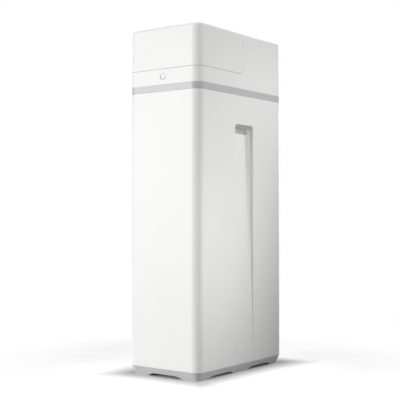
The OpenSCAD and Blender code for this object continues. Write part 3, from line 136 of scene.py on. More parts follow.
def raise_wall(bm, rim, levels):
    """Carries a rim of edges through levels of draw-in and height, and returns the last rim."""
    for inset, z in levels:
        made = bmesh.ops.extrude_edge_only(bm, edges=rim)["geom"]
        rim = [part for part in made if isinstance(part, bmesh.types.BMEdge)]
        for vert in {v for edge in rim for v in edge.verts}:
            vert.co = plan_point(vert.co, inset, z)
    return rim


def cut(bm, place, normal, parts=None, clear=False):
    """Cuts the mesh, or some of its faces, along a plane, and can clear away what lies beyond it."""
    if parts is None:
        parts = bm.faces[:]
    geom = list({item for face in parts for item in (*face.verts, *face.edges, face)})
    made = bmesh.ops.bisect_plane(bm, geom=geom, plane_co=place, plane_no=normal, dist=nearly / 10,
                                  clear_outer=clear)
    return [item for item in made["geom"] if isinstance(item, bmesh.types.BMFace)]


def make_piece(bm, name, material, body, slot, *nodes):
    """Turns a finished bmesh into a smooth-shaded piece that rides on a body and stands for CAD nodes."""
    sharp = math.radians(40)
    bmesh.ops.recalc_face_normals(bm, faces=bm.faces[:])
    for face in bm.faces:
        face.smooth = True
    for edge in bm.edges:
        edge.smooth = edge.is_manifold and edge.calc_face_angle() < sharp
    mesh = bpy.data.meshes.new(name)
    bm.to_mesh(mesh)
    bm.free()
    mesh.materials.append(material)
    piece = bpy.data.objects.new(name, mesh)
    bpy.context.scene.collection.objects.link(piece)
    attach(piece, body)
    if nodes:
        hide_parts(*nodes)
    return piece


def even_shading(piece):
    """Keeps the shading of flat panels flat next to their rounded edges."""
    piece.modifiers.new("even_shading", "WEIGHTED_NORMAL").keep_sharp = True


def arch_rise(distance):
    """Height of the arch at a distance from its middle, with a soft start and a flat top."""
    t = min(max((arch_half - distance) / arch_ramp, 0), 1)
    return arch_h * t * t * (3 - 2 * t)


# Grey polypropylene with a dull, slightly waxy skin that scatters the light softly.
plinth_grey = moulded_plastic("grey_polypropylene", "#D6D6D6", "#D1D1D2", roughness=0.5)

bm = bmesh.new()
floor_face = plan_face(bm, plinth_taper, 0)
floor_rim = floor_face.edges[:]
bmesh.ops.delete(bm, geom=[floor_face], context="FACES_ONLY")
outer_rim = raise_wall(bm, floor_rim, [(plinth_edge, plinth_h - plinth_edge), (2 * plinth_edge, plinth_h)])
inner_rim = raise_wall(bm, floor_rim, [
    (plinth_taper + plinth_wall, 0),
    (plinth_wall + plinth_taper * plinth_deck / plinth_h, plinth_h - plinth_deck)])
bmesh.ops.edgeloop_fill(bm, edges=outer_rim)
bmesh.ops.edgeloop_fill(bm, edges=inner_rim)
arch_places = [(Vector((1, 0, 0)), 0), (Vector((0, 1, 0)), -arch_y), (Vector((0, 1, 0)), arch_y)]
for across, middle in arch_places:
    for step in range(arch_cuts):
        offset = arch_half - arch_ramp * step / (arch_cuts - 1)
        cut(bm, across * (middle - offset), across)
        cut(bm, across * (middle + offset), across)
for vert in bm.verts:
    if vert.co.z < nearly:
        on_end = abs(vert.co.y) > half_d - plinth_taper - plinth_wall - nearly
        rise = arch_rise(abs(vert.co.x) if on_end else abs(abs(vert.co.y) - arch_y))
        lean = plinth_taper / plinth_h * rise
        if on_end:
            vert.co.y += math.copysign(lean, vert.co.y)
        else:
            vert.co.x += math.copysign(lean, vert.co.x)
        vert.co.z += rise
even_shading(make_piece(bm, "plinth", plinth_grey, "housing", "grey_plinth", "base"))

# Cabinet
# The tall white salt cabinet, one open-topped moulding in ABS. Each side has a hand scoop to lift it by: a
# long ramp that deepens upwards to a lip, with a deeper finger pocket above the lip.
cabinet_z = plinth_h
cabinet_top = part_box("cabinet")[1].z
cabinet_wall = 4 * mm
cabinet_floor = 5 * mm
cabinet_edge = 0.5 * mm
scoop_y = 5 * mm
scoop_half = 52 * mm
scoop_r = 12 * mm
scoop_corner_steps = 8
scoop_drop = 95 * mm
scoop_rise = 38 * mm
pocket_h = 27 * mm
pocket_d = 40 * mm
scoop_top = cabinet_top - scoop_drop
scoop_lip = scoop_top - pocket_h
scoop_foot = cabinet_z + scoop_rise
scoop_d = 20 * mm
scoop_rim = 2 * mm
scoop_fillet = 5 * mm
round_steps = 4
lip_r = 2.5 * mm
lip_steps = 3


def open_panel(bm, panel, *outlines):
    """Refills a flat panel around outlines that are drawn on it."""
    edges = [*panel.edges, *(edge for outline in outlines for edge in outline)]
    bmesh.ops.delete(bm, geom=[panel], context="FACES_ONLY")
    bmesh.ops.triangle_fill(bm, use_beauty=True, edges=edges)


def press_scoop(bm, x, grow):
    """Presses the hand scoop into the flat side panel at x, grown by the wall for the inside of the shell."""
    inward = -math.copysign(1, x)
    low = scoop_foot - scoop_rim - grow
    high = scoop_top + scoop_rim + grow
    reach = scoop_half + scoop_rim + grow
    panel = max((face for face in bm.faces if abs(face.calc_center_median().x - x) < nearly),
                key=lambda face: face.calc_area())
    corners = [(x, scoop_y - reach, low), (x, scoop_y + reach, low),
               (x, scoop_y + reach, high), (x, scoop_y - reach, high)]
    outline = rounded_face(bm, corners, scoop_r + scoop_rim + grow, (2, 3), scoop_corner_steps)
    open_panel(bm, panel, outline.edges[:])
    sunk = cut(bm, (0, 0, scoop_lip - grow), (0, 0, 1), [outline])
    turns = [math.pi / 2 * (i + 1) / round_steps for i in range(round_steps)]
    rim_path = [(scoop_rim * math.sin(a), scoop_rim * (1 - math.cos(a)), 0) for a in turns]
    floor_path = [(scoop_rim + nearly + scoop_fillet * (1 - math.cos(a)), scoop_rim, math.sin(a))
                  for a in [0] + turns]
    last = 0
    for inset, start, share in rim_path + floor_path:
        bmesh.ops.inset_region(bm, faces=sunk, thickness=inset - last, use_boundary=True,
                               use_even_offset=True)
        last = inset
        for vert in {v for face in sunk for v in face.verts}:
            deep = max(scoop_d * (vert.co.z - scoop_foot) / (scoop_lip - scoop_foot), 0)
            scale = min(deep / (scoop_rim + scoop_fillet), 1)
            if (inset, start, share) in rim_path:
                push = start * scale
            else:
                push = deep - scoop_fillet * scale * (1 - share)
            vert.co.x = x + inward * push
    pocket = max(sunk, key=lambda face: face.calc_center_median().z)
    pocket = bmesh.ops.extrude_discrete_faces(bm, faces=[pocket])["faces"][0]
    for vert in pocket.verts:
        vert.co.x = x + inward * pocket_d
    lip = [edge for edge in bm.edges
           if all(abs(v.co.z - scoop_lip + grow) < nearly and abs(v.co.x - x) < pocket_d - nearly
                  and abs(v.co.x - x) > scoop_d - nearly for v in edge.verts)]
    bmesh.ops.bevel(bm, geom=lip, affect="EDGES", offset=lip_r, segments=lip_steps, profile=0.5, material=-1)


# White ABS from a finely etched mould: a clean satin white with broad soft highlights.
white_abs = moulded_plastic("white_abs", "#F3F3F2", "#F1F1F0", roughness=0.5)

bm = bmesh.new()
under_face = plan_face(bm, cabinet_edge, cabinet_z)
inner_rim = raise_wall(bm, under_face.edges[:], [
    (0, cabinet_z + cabinet_edge), (0, cabinet_top - cabinet_edge), (cabinet_edge, cabinet_top),
    (cabinet_wall - cabinet_edge, cabinet_top), (cabinet_wall, cabinet_top - cabinet_edge),
    (cabinet_wall, cabinet_z + cabinet_floor)])
bmesh.ops.edgeloop_fill(bm, edges=inner_rim)
for side in (-1, 1):
    press_scoop(bm, side * half_w, 0)
    press_scoop(bm, side * (half_w - cabinet_wall), cabinet_wall)
even_shading(make_piece(bm, "cabinet_shell", white_abs, "housing", "white_shell", "cabinet"))

# Trim band
# The flush grey ring between the cabinet and its head, moulded in ABS. Its skirt drops into the cabinet, its
# lip holds the head, and a fine groove along its lower edge hides the joint.
band_z = cabinet_top
band_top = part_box("head_cover")[0].z
band_low, band_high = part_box("trim_band")[0].z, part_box("trim_band")[1].z
band_groove = 1 * mm
band_edge = 0.4 * mm
band_lip_in = 3.4 * mm
band_skirt_in = 4.3 * mm
band_t = 3 * mm

# Grey ABS, dyed through, with the same satin skin as the cabinet.
band_grey = moulded_plastic("grey_abs", "#C0C0C1", "#BCBCBD", roughness=0.45)

bm = bmesh.new()
groove_face = plan_face(bm, band_groove, band_z)
groove_rim = groove_face.edges[:]
bmesh.ops.delete(bm, geom=[groove_face], context="FACES_ONLY")
last_rim = raise_wall(bm, groove_rim, [
    (band_groove, band_z + band_groove), (band_edge, band_z + band_groove),
    (0, band_z + band_groove + band_edge), (0, band_top - band_edge), (band_edge, band_top),
    (band_lip_in, band_top), (band_lip_in, band_high), (band_lip_in + band_t, band_high),
    (band_skirt_in + band_t, band_top), (band_skirt_in + band_t, band_low),
    (band_skirt_in, band_low), (band_skirt_in, band_z)])
bmesh.ops.bridge_loops(bm, edges=groove_rim + last_rim)
even_shading(make_piece(bm, "trim_ring", band_grey, "housing", "grey_band", "trim_band"))

# Head cover
# The white ABS cover over the control valve: a strip right round the cabinet, and behind the lid a closed
# hood with a sunk place for the display panel and a notch at the back for the pipes. It drops onto the band.
head_z = band_top
head_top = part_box("salt_lid")[1].z
head_wall = 3 * mm
head_draft = 2 * mm
head_fillet = 6 * mm
fillet_steps = 8
seam_gap = 1 * mm
lid_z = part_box("salt_lid")[0].z
lid_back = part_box("salt_lid")[1].y
lid_corner_r = 12 * mm
head_corner_steps = 8
seam_edge_r = 3 * mm
seam_steps = 3
soft_edge = 0.4 * mm
soft_steps = 2
sharp_angle = math.radians(50)
strip_top = lid_z - seam_gap
cover_front = lid_back + seam_gap
notch_half = 100 * mm
notch_room = 6 * mm
notch_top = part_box("inlet_handle")[1].z + notch_room
notch_r = 15 * mm
panel_low, panel_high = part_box("control_panel")
panel_gap = 0.2 * mm
panel_r = 8 * mm
key_hole_r = 6.3 * mm
bezel_hole_r = 10.3 * mm
jack_hole_r = 5.8 * mm
hole_steps = 32


def head_inset(z):
    """Draw-in of the head's outer skin at a height."""
    return head_draft * (z - head_z) / (head_top - head_z)


def head_skin(bm):
    """The head's whole outer skin: a slight draft, a rounded top edge and a flat top."""
    rim_z = head_top - head_fillet
    turns = [math.pi / 2 * i / fillet_steps for i in range(fillet_steps + 1)]
    start = plan_face(bm, 0, head_z)
    rim = start.edges[:]
    bmesh.ops.delete(bm, geom=[start], context="FACES_ONLY")
    rim = raise_wall(bm, rim, [(head_inset(rim_z) + head_fillet * (1 - math.cos(a)),
                                rim_z + head_fillet * math.sin(a)) for a in turns])
    bmesh.ops.edgeloop_fill(bm, edges=rim)
    bmesh.ops.recalc_face_normals(bm, faces=bm.faces[:])


def facing(bm, direction):
    """The flat faces that look in a direction, give or take the head's draft."""
    least_dot = 0.9995
    bm.normal_update()
    return [face for face in bm.faces if face.normal.dot(Vector(direction)) > least_dot]


def verts_at(bm, y, z):
    """The points at a place on either side of the head."""
    return [v for v in bm.verts if abs(v.co.y - y) < nearly and abs(v.co.z - z) < nearly]


def round_seam(bm, edge_y, away):
    """Rounds the top edge down to the seam that runs across the head at edge_y."""
    for step in range(seam_steps):
        upper = [face for face in bm.faces if face.calc_center_median().z > head_top - head_fillet]
        share = 1 - math.sin(math.pi / 2 * step / seam_steps)
        cut(bm, (0, edge_y + away * seam_edge_r * share, 0), (0, 1, 0), upper)
    for vert in bm.verts:
        past = seam_edge_r - away * (vert.co.y - edge_y)
        upward = (vert.co.z - head_top + head_fillet) / head_fillet
        if past > nearly and upward > 0:
            drop = seam_edge_r - math.sqrt(max(seam_edge_r ** 2 - past ** 2, 0))
            vert.co.z -= drop * min(upward, 1) ** 2


def thicken(piece):
    """Gives a skin of the head its wall, and softens its edges."""
    solid = piece.modifiers.new("wall", "SOLIDIFY")
    solid.thickness = head_wall
    solid.offset = -1
    solid.use_even_offset = True
    soft = piece.modifiers.new("soft_edges", "BEVEL")
    soft.width = soft_edge
    soft.segments = soft_steps
    soft.limit_method = "ANGLE"
    soft.angle_limit = sharp_angle
    even_shading(piece)


bm = bmesh.new()
head_skin(bm)
cut(bm, (0, 0, strip_top), (0, 0, 1))
cut(bm, (0, cover_front, 0), (0, 1, 0))
hatch = [face for face in bm.faces
         if face.calc_center_median().y < cover_front and face.calc_center_median().z > strip_top]
bmesh.ops.delete(bm, geom=hatch, context="FACES")
for side in (-1, 1):
    bmesh.ops.dissolve_faces(bm, faces=facing(bm, (side, 0, 0)))
bmesh.ops.bevel(bm, geom=verts_at(bm, cover_front, strip_top), affect="VERTICES",
                offset=lid_corner_r + seam_gap, segments=head_corner_steps, profile=0.5, material=-1)
back_wall = facing(bm, (0, 1, 0))
for place, normal in (((-notch_half, 0, 0), (1, 0, 0)), ((notch_half, 0, 0), (1, 0, 0)),
                      ((0, 0, notch_top), (0, 0, 1))):
    cut(bm, place, normal, back_wall)
    back_wall = facing(bm, (0, 1, 0))
notch = [face for face in back_wall
         if abs(face.calc_center_median().x) < notch_half and face.calc_center_median().z < notch_top]
bmesh.ops.delete(bm, geom=notch, context="FACES")
bmesh.ops.dissolve_faces(bm, faces=facing(bm, (0, 1, 0)))
notch_corners = [v for v in bm.verts
                 if abs(abs(v.co.x) - notch_half) < nearly and abs(v.co.z - notch_top) < nearly]
bmesh.ops.bevel(bm, geom=notch_corners, affect="VERTICES", offset=notch_r, segments=head_corner_steps,
                profile=0.5, material=-1)
round_seam(bm, cover_front, 1)
top_panel = max(facing(bm, (0, 0, 1)), key=lambda face: face.calc_area())
recess_x = panel_high.x + panel_gap
recess_y0, recess_y1 = panel_low.y - panel_gap, panel_high.y + panel_gap
recess_corners = [(-recess_x, recess_y0, head_top), (recess_x, recess_y0, head_top),
                  (recess_x, recess_y1, head_top), (-recess_x, recess_y1, head_top)]
recess = rounded_face(bm, recess_corners, panel_r + panel_gap, range(4), head_corner_steps)
open_panel(bm, top_panel, recess.edges[:])
# The recess's floor gets the full wall, 1.2 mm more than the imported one, so the keys' flanges reach into it.
recess = bmesh.ops.extrude_discrete_faces(bm, faces=[recess])["faces"][0]
for vert in recess.verts:
    vert.co.z = panel_low.z
key_holes = []
for key in ("menu_key", "down_key", "up_key", "regen_key"):
    low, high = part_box(key)
    spot = Matrix.Translation(((low.x + high.x) / 2, (low.y + high.y) / 2, panel_low.z))
    ring = bmesh.ops.create_circle(bm, segments=hole_steps, radius=key_hole_r, matrix=spot)["verts"]
    key_holes.append({edge for vert in ring for edge in vert.link_edges})
open_panel(bm, recess, *key_holes)
button_z = (head_z + lid_z - seam_gap / 2) / 2
jack_low, jack_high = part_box("power_jack")
jack_x, jack_z = (jack_low.x + jack_high.x) / 2, (jack_low.z + jack_high.z) / 2
for end, x, z, radius in ((-1, 0, button_z, bezel_hole_r), (1, jack_x, jack_z, jack_hole_r)):
    end_wall = max(facing(bm, (0, end, 0)), key=lambda face: face.calc_area())
    spot = Matrix.Translation((x, end * half_d, z)) @ Matrix.Rotation(math.pi / 2, 4, "X")
    ring = bmesh.ops.create_circle(bm, segments=hole_steps, radius=radius, matrix=spot)["verts"]
    for vert in ring:
        vert.co.y = end * (half_d - head_inset(vert.co.z))
    open_panel(bm, end_wall, {edge for vert in ring for edge in vert.link_edges})
thicken(make_piece(bm, "head_hood", white_abs, "housing", "white_shell", "head_cover"))

# Hatch frame
# The white mouldings inside the head: a raised collar round the salt hatch that the lid closes over, the
# bulkhead that keeps salt off the valve, and the two cheeks that carry the lid's pins.
collar_below = 11 * mm
collar_above = 7 * mm
collar_z = strip_top + seam_gap / 2 - collar_below
collar_top = strip_top + seam_gap / 2 + collar_above
collar_in = 6.5 * mm
collar_t = 3 * mm
bulkhead_t = 3 * mm
bulkhead_gap = 2 * mm
bulkhead_steps = 6
bulkhead_z = band_high + bulkhead_gap
hinge_low, hinge_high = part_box("hinge_pins")
hinge_y = (hinge_low.y + hinge_high.y) / 2
hinge_z = (hinge_low.z + hinge_high.z) / 2
ear_r = 4.6 * mm
cheek_t = 6 * mm
# The cheeks are drawn 7.1 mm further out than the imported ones, so they run into the lid's ears.
cheek_x = hinge_low.x
cheek_edge = 1 * mm
cheek_foot = 40 * mm
cheek_slope = 28 * mm
lid_open = math.radians(110)

bm = bmesh.new()
collar_face = plan_face(bm, head_wall / 2, collar_z)
collar_rim = collar_face.edges[:]
bmesh.ops.delete(bm, geom=[collar_face], context="FACES_ONLY")
last_rim = raise_wall(bm, collar_rim, [
    (head_wall / 2, collar_z + collar_t), (collar_in, collar_z + collar_t), (collar_in, collar_top),
    (collar_in + collar_t, collar_top), (collar_in + collar_t, collar_z)])
bmesh.ops.bridge_loops(bm, edges=collar_rim + last_rim)
cut(bm, (0, cover_front + bulkhead_t / 2, 0), (0, 1, 0), clear=True)
bmesh.ops.holes_fill(bm, edges=bm.edges[:])
make_piece(bm, "hatch_collar", white_abs, "housing", "white_shell")

bm = bmesh.new()
bulk_x = half_w - head_draft - head_wall / 2
bulk_high = head_top - head_wall / 2
bulk_y = cover_front + bulkhead_t / 2
bulk = bmesh.ops.create_cube(bm, size=1)["verts"]
bmesh.ops.scale(bm, verts=bulk, vec=(2 * bulk_x, bulkhead_t, bulk_high - bulkhead_z))
bmesh.ops.translate(bm, verts=bulk, vec=(0, bulk_y, (bulk_high + bulkhead_z) / 2))
top_edges = [e for e in bm.edges if all(v.co.z > bulk_high - nearly for v in e.verts)
             and abs(e.verts[0].co.y - e.verts[1].co.y) > nearly]
bmesh.ops.bevel(bm, geom=top_edges, affect="EDGES", offset=head_fillet - head_wall / 2,
                segments=bulkhead_steps, profile=0.5, material=-1)
make_piece(bm, "bulkhead", white_abs, "housing", "white_shell")

bm = bmesh.new()
axis = Vector((cheek_x, hinge_y, hinge_z))
along = Vector((0, math.cos(lid_open), -math.sin(lid_open)))
across = Vector((0, math.sin(lid_open), math.cos(lid_open)))
profile = [Vector((cheek_x, hinge_y - cheek_foot, collar_z)),
           Vector((cheek_x, hinge_y + cheek_edge, collar_z)),
           Vector((cheek_x, hinge_y + cheek_edge, collar_top)),
           axis + along * cheek_slope + across * cheek_edge, axis + across * cheek_edge,
           axis + Vector((0, 0, ear_r)), axis + Vector((0, -ear_r, 0))]
face = bm.faces.new([bm.verts.new(point) for point in profile])
wall = bmesh.ops.extrude_face_region(bm, geom=[face])["geom"]
bmesh.ops.translate(bm, verts=[v for v in wall if isinstance(v, bmesh.types.BMVert)], vec=(cheek_t, 0, 0))
bmesh.ops.bevel(bm, geom=bm.edges[:], affect="EDGES", offset=soft_edge, segments=soft_steps, profile=0.5,
                material=-1)
bmesh.ops.mirror(bm, geom=bm.verts[:] + bm.edges[:] + bm.faces[:], axis="X", merge_dist=-1)
make_piece(bm, "hinge_cheeks", white_abs, "housing", "white_shell")

# Salt lid
# The white ABS lid over the salt hatch: the whole front and top of the head ahead of the seam, hinged on two
# pins inside its side walls so that it swings up and back.
ear_l = 6.7 * mm
ear_steps = 32
ear_edge = 0.5 * mm

bm = bmesh.new()
head_skin(bm)
cut(bm, (0, lid_back, 0), (0, 1, 0), clear=True)
cut(bm, (0, 0, lid_z), (0, 0, -1), clear=True)
bmesh.ops.bevel(bm, geom=verts_at(bm, lid_back, lid_z), affect="VERTICES", offset=lid_corner_r,
                segments=head_corner_steps, profile=0.5, material=-1)
round_seam(bm, lid_back, -1)
thicken(make_piece(bm, "lid_shell", white_abs, "lid", "white_shell", "salt_lid"))

# The ears are drawn without the bores that the pins fill.
bm = bmesh.new()
ear_x0 = hinge_high.x - ear_l
ear_x1 = half_w - head_draft - head_wall / 2
for side in (-1, 1):
    middle = Matrix.Translation((side * (ear_x0 + ear_x1) / 2, hinge_y, hinge_z))
    bmesh.ops.create_cone(bm, cap_ends=True, segments=ear_steps, radius1=ear_r, radius2=ear_r,
                          depth=ear_x1 - ear_x0, matrix=middle @ Matrix.Rotation(math.pi / 2, 4, "Y"))
ends = [edge for edge in bm.edges if edge.calc_face_angle() > sharp_angle]
bmesh.ops.bevel(bm, geom=ends, affect="EDGES", offset=ear_edge, segments=soft_steps, profile=0.5, material=-1)
make_piece(bm, "lid_ears", white_abs, "lid", "white_shell")


# Hinge pins
# Two short pins of drawn stainless steel, cut to length and pushed into the cheeks of the hatch frame. The
# lid's ears turn on them.
def dress(material, *nodes):
    """Gives CAD nodes, which keep their own shape, their real finish."""
    for node in nodes:
        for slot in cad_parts[node].material_slots:
            slot.material = material


def metal(name, pale, deep, roughness, mark_mm):
    """Bare metal with fine machining marks in its colour and its polish."""
    # The marks are about 0.1 mm apart, too fine to show, so mark_mm draws them coarser.
    polish_spread = 0.08
    material = bpy.data.materials.new(name)
    material.use_nodes = True
    tree = material.node_tree
    shader = tree.nodes["Principled BSDF"]
    shader.inputs["Metallic"].default_value = 1.0
    place = add_node(tree, "ShaderNodeTexCoord").outputs["Object"]
    marks = add_node(tree, "ShaderNodeTexNoise",
                     {"Vector": place, "Scale": 1 / (mark_mm * mm), "Detail": 3.0})
    tint = add_node(tree, "ShaderNodeMix", {0: marks.outputs[0], 6: linear(pale), 7: linear(deep)},
                    data_type="RGBA")
    polish = add_node(tree, "ShaderNodeMapRange", {
        "Value": marks.outputs[0], "To Min": roughness - polish_spread, "To Max": roughness + polish_spread})
    tree.links.new(tint.outputs[2], shader.inputs["Base Color"])
    tree.links.new(polish.outputs[0], shader.inputs["Roughness"])
    return material


# Stainless steel with a fine drawn finish and a cool grey mirror shine.
steel = metal("stainless_steel", "#C9CBCC", "#AFB1B4", roughness=0.3, mark_mm=1.2)
dress(steel, "hinge_pins")

# Front button
# The round push button in the front strip: a satin grey ring snapped into the skin, and a pale dished cap
# that presses a switch on the small board behind it. Ring and cap are small mouldings in ABS.
bezel_low, bezel_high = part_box("button_bezel")
cap_low, cap_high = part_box("front_button")
bezel_r = bezel_high.x
bezel_lip = 1.2 * mm
bezel_tube_r = bezel_r - bezel_lip
bezel_proud = 1 * mm
bezel_round = 0.6 * mm
cap_r = 8 * mm
cap_gap = 0.3 * mm
cap_flange_gap = 0.6 * mm
cap_flange_r = bezel_tube_r - cap_flange_gap
cap_flange_t = 1.5 * mm
dish_r = 40 * mm
dish_d = 0.7 * mm
dish_steps = 8
cap_round = 0.4 * mm
track_mm = 8
track_share = 0.06


def arc(r, h, radius, start, end, steps=5):
    """Points of radius and height on an arc round a centre, between two angles in degrees."""
    turns = [math.radians(start + (end - start) * i / steps) for i in range(steps + 1)]
    return [(r + radius * math.cos(a), h + radius * math.sin(a)) for a in turns]


def turned(bm, outline, place, axis, closed=False, steps=48):
    """Spins an outline of radius and height pairs about an axis through a place."""
    place = Vector(place)
    turn = Vector((0, 0, 1)).rotation_difference(Vector(axis)).to_matrix()
    verts = [bm.verts.new(place + turn @ Vector((r, 0, h))) for r, h in outline]
    edges = [bm.edges.new(pair) for pair in zip(verts, verts[1:])]
    if closed:
        edges.append(bm.edges.new((verts[-1], verts[0])))
    bmesh.ops.spin(bm, geom=verts + edges, cent=place, axis=axis, dvec=(0, 0, 0), angle=2 * math.pi,
                   steps=steps, use_merge=True)
    bmesh.ops.remove_doubles(bm, verts=bm.verts[:], dist=nearly)


# Grey ABS with a satin silver look, darker than the strip so that the ring stands out.
ring_grey = moulded_plastic("silver_grey_abs", "#BFC1C3", "#B9BBBD", roughness=0.34)
# Pale grey ABS, a shade under the cabinet's white.
cap_grey = moulded_plastic("pale_grey_abs", "#DEDFE0", "#D9DADB", roughness=0.32)
# Green solder mask over copper tracks on glass laminate: a smooth green with paler lines, drawn wider apart
# than the real tracks so that they show.
board_green = bpy.data.materials.new("circuit_board")
board_green.use_nodes = True
tree = board_green.node_tree
shader = tree.nodes["Principled BSDF"]
place = add_node(tree, "ShaderNodeTexCoord").outputs["Object"]
tracks = add_node(tree, "ShaderNodeTexBrick", {
    "Vector": place, "Color1": linear("#2F5B3A"), "Color2": linear("#2A5234"), "Mortar": linear("#4C7A4E"),
    "Scale": 1 / (track_mm * mm), "Mortar Size": track_share})
tree.links.new(tracks.outputs[0], shader.inputs["Base Color"])
shader.inputs["Roughness"].default_value = 0.35
dress(board_green, "button_board", "display_board")

bm = bmesh.new()
ring_h = bezel_high.y - bezel_low.y
outline = [(cap_r + cap_gap, ring_h), (cap_r + cap_gap, bezel_round)]
outline += arc(cap_r + cap_gap + bezel_round, bezel_round, bezel_round, 180, 270)
outline += arc(bezel_r - bezel_round, bezel_round, bezel_round, 270, 360)
outline += [(bezel_r, bezel_proud), (bezel_tube_r, bezel_proud), (bezel_tube_r, ring_h)]
turned(bm, outline, (0, bezel_low.y, button_z), (0, 1, 0), closed=True)
make_piece(bm, "button_ring", ring_grey, "housing", "button_grey", "button_bezel")

bm = bmesh.new()
cap_h = cap_high.y - cap_low.y
dish_points = [cap_r * i / dish_steps for i in range(dish_steps)]
outline = [(r, dish_d - dish_r + math.sqrt(dish_r ** 2 - r ** 2)) for r in dish_points]
outline += arc(cap_r - cap_round, cap_round, cap_round, 270, 360)
outline += [(cap_r, cap_h - cap_flange_t), (cap_flange_r, cap_h - cap_flange_t), (cap_flange_r, cap_h),
            (0, cap_h)]
turned(bm, outline, (0, cap_low.y, button_z), (0, 1, 0))
make_piece(bm, "button_cap", cap_grey, "button", "button_white", "front_button")

# Top panel
# The control panel sunk into the top of the head: a bare grey film over a plate, a dark clear window above
# the display and four round keys that rise through the film, each on its own switch of the board below.
key_r = 6 * mm
key_flange_r = 7.3 * mm
key_flange_t = 1.5 * mm
key_round = 0.6 * mm
key_dish = 0.25 * mm
dish_shares = [(0.6, 0.6), (0.3, 0.95), (0, 1)]

# Polyester film: an even mid grey with a fine leathery grain.
film_grey = moulded_plastic("grey_polyester_film", "#70757B", "#6A6F75", roughness=0.4, grain_mm=0.9)
# Smoked acrylic: almost black, with a clear polished face that mirrors the room.
smoked_acrylic = moulded_plastic("smoked_acrylic", "#16181B", "#121417", roughness=0.1, grain_mm=6,
                                 relief_mm=0.005)
# Dark glass of the display behind the window.
display_glass = moulded_plastic("display_glass", "#2B3330", "#262E2B", roughness=0.2, grain_mm=4)
dress(film_grey, "control_panel")
dress(smoked_acrylic, "display_window")
dress(display_glass, "display_module")

for body in ("menu", "down", "up", "regen"):
    low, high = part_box(body + "_key")
    key_h = high.z - low.z
    outline = [(0, 0), (key_flange_r, 0), (key_flange_r, key_flange_t), (key_r, key_flange_t)]
    outline += arc(key_r - key_round, key_h - key_round, key_round, 0, 90)
    outline += [(key_r * out, key_h - key_dish * deep) for out, deep in dish_shares]
    bm = bmesh.new()
    turned(bm, outline, ((low.x + high.x) / 2, (low.y + high.y) / 2, low.z), (0, 0, 1))
    make_piece(bm, body + "_cap", cap_grey, body, "button_white", body + "_key")

# Back of the head
# A low-voltage socket held by a nut from inside, and two steel screws with round socket heads that hold the
# head cover to the lip of the trim band.
screw_low, screw_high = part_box("cover_screws")
screw_r = 2 * mm
screw_head_r = 4 * mm
screw_head_h = 2 * mm
screw_round = 1.2 * mm
screw_steps = 24
socket_r = 1.2 * mm
socket_d = 1.3 * mm
socket_tip = 0.3 * mm

# Glass-filled nylon: black with a dry, slightly fibrous bloom.
black_nylon = moulded_plastic("black_nylon", "#2C2D2F", "#242527", roughness=0.5, grain_mm=0.8)
dress(black_nylon, "power_jack")

bm = bmesh.new()
shank = screw_high.y - screw_low.y
outline = [(0, 0), (screw_r, 0), (screw_r, shank - screw_head_h), (screw_head_r, shank - screw_head_h)]
outline += arc(screw_head_r - screw_round, shank - screw_round, screw_round, 0, 90)
outline += [(socket_r, shank), (socket_r, shank - socket_d), (0, shank - socket_d - socket_tip)]
for side in (-1, 1):
    turned(bm, outline, (side * (screw_high.x - screw_head_r), screw_low.y, (screw_low.z + screw_high.z) / 2),
           (0, 1, 0), steps=screw_steps)
make_piece(bm, "cover_screw_pair", steel, "housing", "steel", "cover_screws")

# Resin tank
# The pressure tank that stands in the cabinet in a black rubber boot: a thin liner wound with glass fibre in
# crossing bands and set in blue resin. It holds the bed of ion-exchange beads, the riser and two strainers.
tank_low, tank_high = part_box("resin_tank")
tank_r = (tank_high.x - tank_low.x) / 2
tank_y = (tank_low.y + tank_high.y) / 2
band_mm = 14
wind_angle = math.radians(55)
roving_h = 0.2 * mm

# Blue-pigmented glass fibre: crossing bands of roving under a clear wet-looking coat.
wound_fibre = bpy.data.materials.new("wound_glass_fibre")
wound_fibre.use_nodes = True
tree = wound_fibre.node_tree
shader = tree.nodes["Principled BSDF"]
place = add_node(tree, "ShaderNodeTexCoord").outputs["Object"]
round_axis = add_node(tree, "ShaderNodeVectorMath", {0: place, 1: (0, -tank_y, 0)}, operation="ADD")
parts = add_node(tree, "ShaderNodeSeparateXYZ", {0: round_axis.outputs[0]}).outputs
angle = add_node(tree, "ShaderNodeMath", {0: parts["Y"], 1: parts["X"]}, operation="ARCTAN2")
girth = add_node(tree, "ShaderNodeMath", {0: angle.outputs[0], 1: tank_r * math.cos(wind_angle)},
                 operation="MULTIPLY")
bands = []
for hand in (-1, 1):
    rise = add_node(tree, "ShaderNodeMath", {0: parts["Z"], 1: hand * math.sin(wind_angle)},
                    operation="MULTIPLY")
    along = add_node(tree, "ShaderNodeMath", {0: girth.outputs[0], 1: rise.outputs[0]}, operation="ADD")
    turn = add_node(tree, "ShaderNodeMath", {0: along.outputs[0], 1: 2 * math.pi / (band_mm * mm)},
                    operation="MULTIPLY")
    bands.append(add_node(tree, "ShaderNodeMath", {0: turn.outputs[0]}, operation="SINE"))
weave = add_node(tree, "ShaderNodeMath", {0: bands[0].outputs[0], 1: bands[1].outputs[0]},
                 operation="MAXIMUM")
share = add_node(tree, "ShaderNodeMapRange", {"Value": weave.outputs[0], "From Min": -1.0, "From Max": 1.0})
tint = add_node(tree, "ShaderNodeMix", {0: share.outputs[0], 6: linear("#2A5588"), 7: linear("#37699F")},
                data_type="RGBA")
bump = add_node(tree, "ShaderNodeBump", {"Height": share.outputs[0], "Strength": 0.5, "Distance": roving_h})
tree.links.new(tint.outputs[2], shader.inputs["Base Color"])
tree.links.new(bump.outputs[0], shader.inputs["Normal"])
shader.inputs["Roughness"].default_value = 0.4
shader.inputs["Coat Weight"].default_value = 0.6
dress(wound_fibre, "resin_tank")

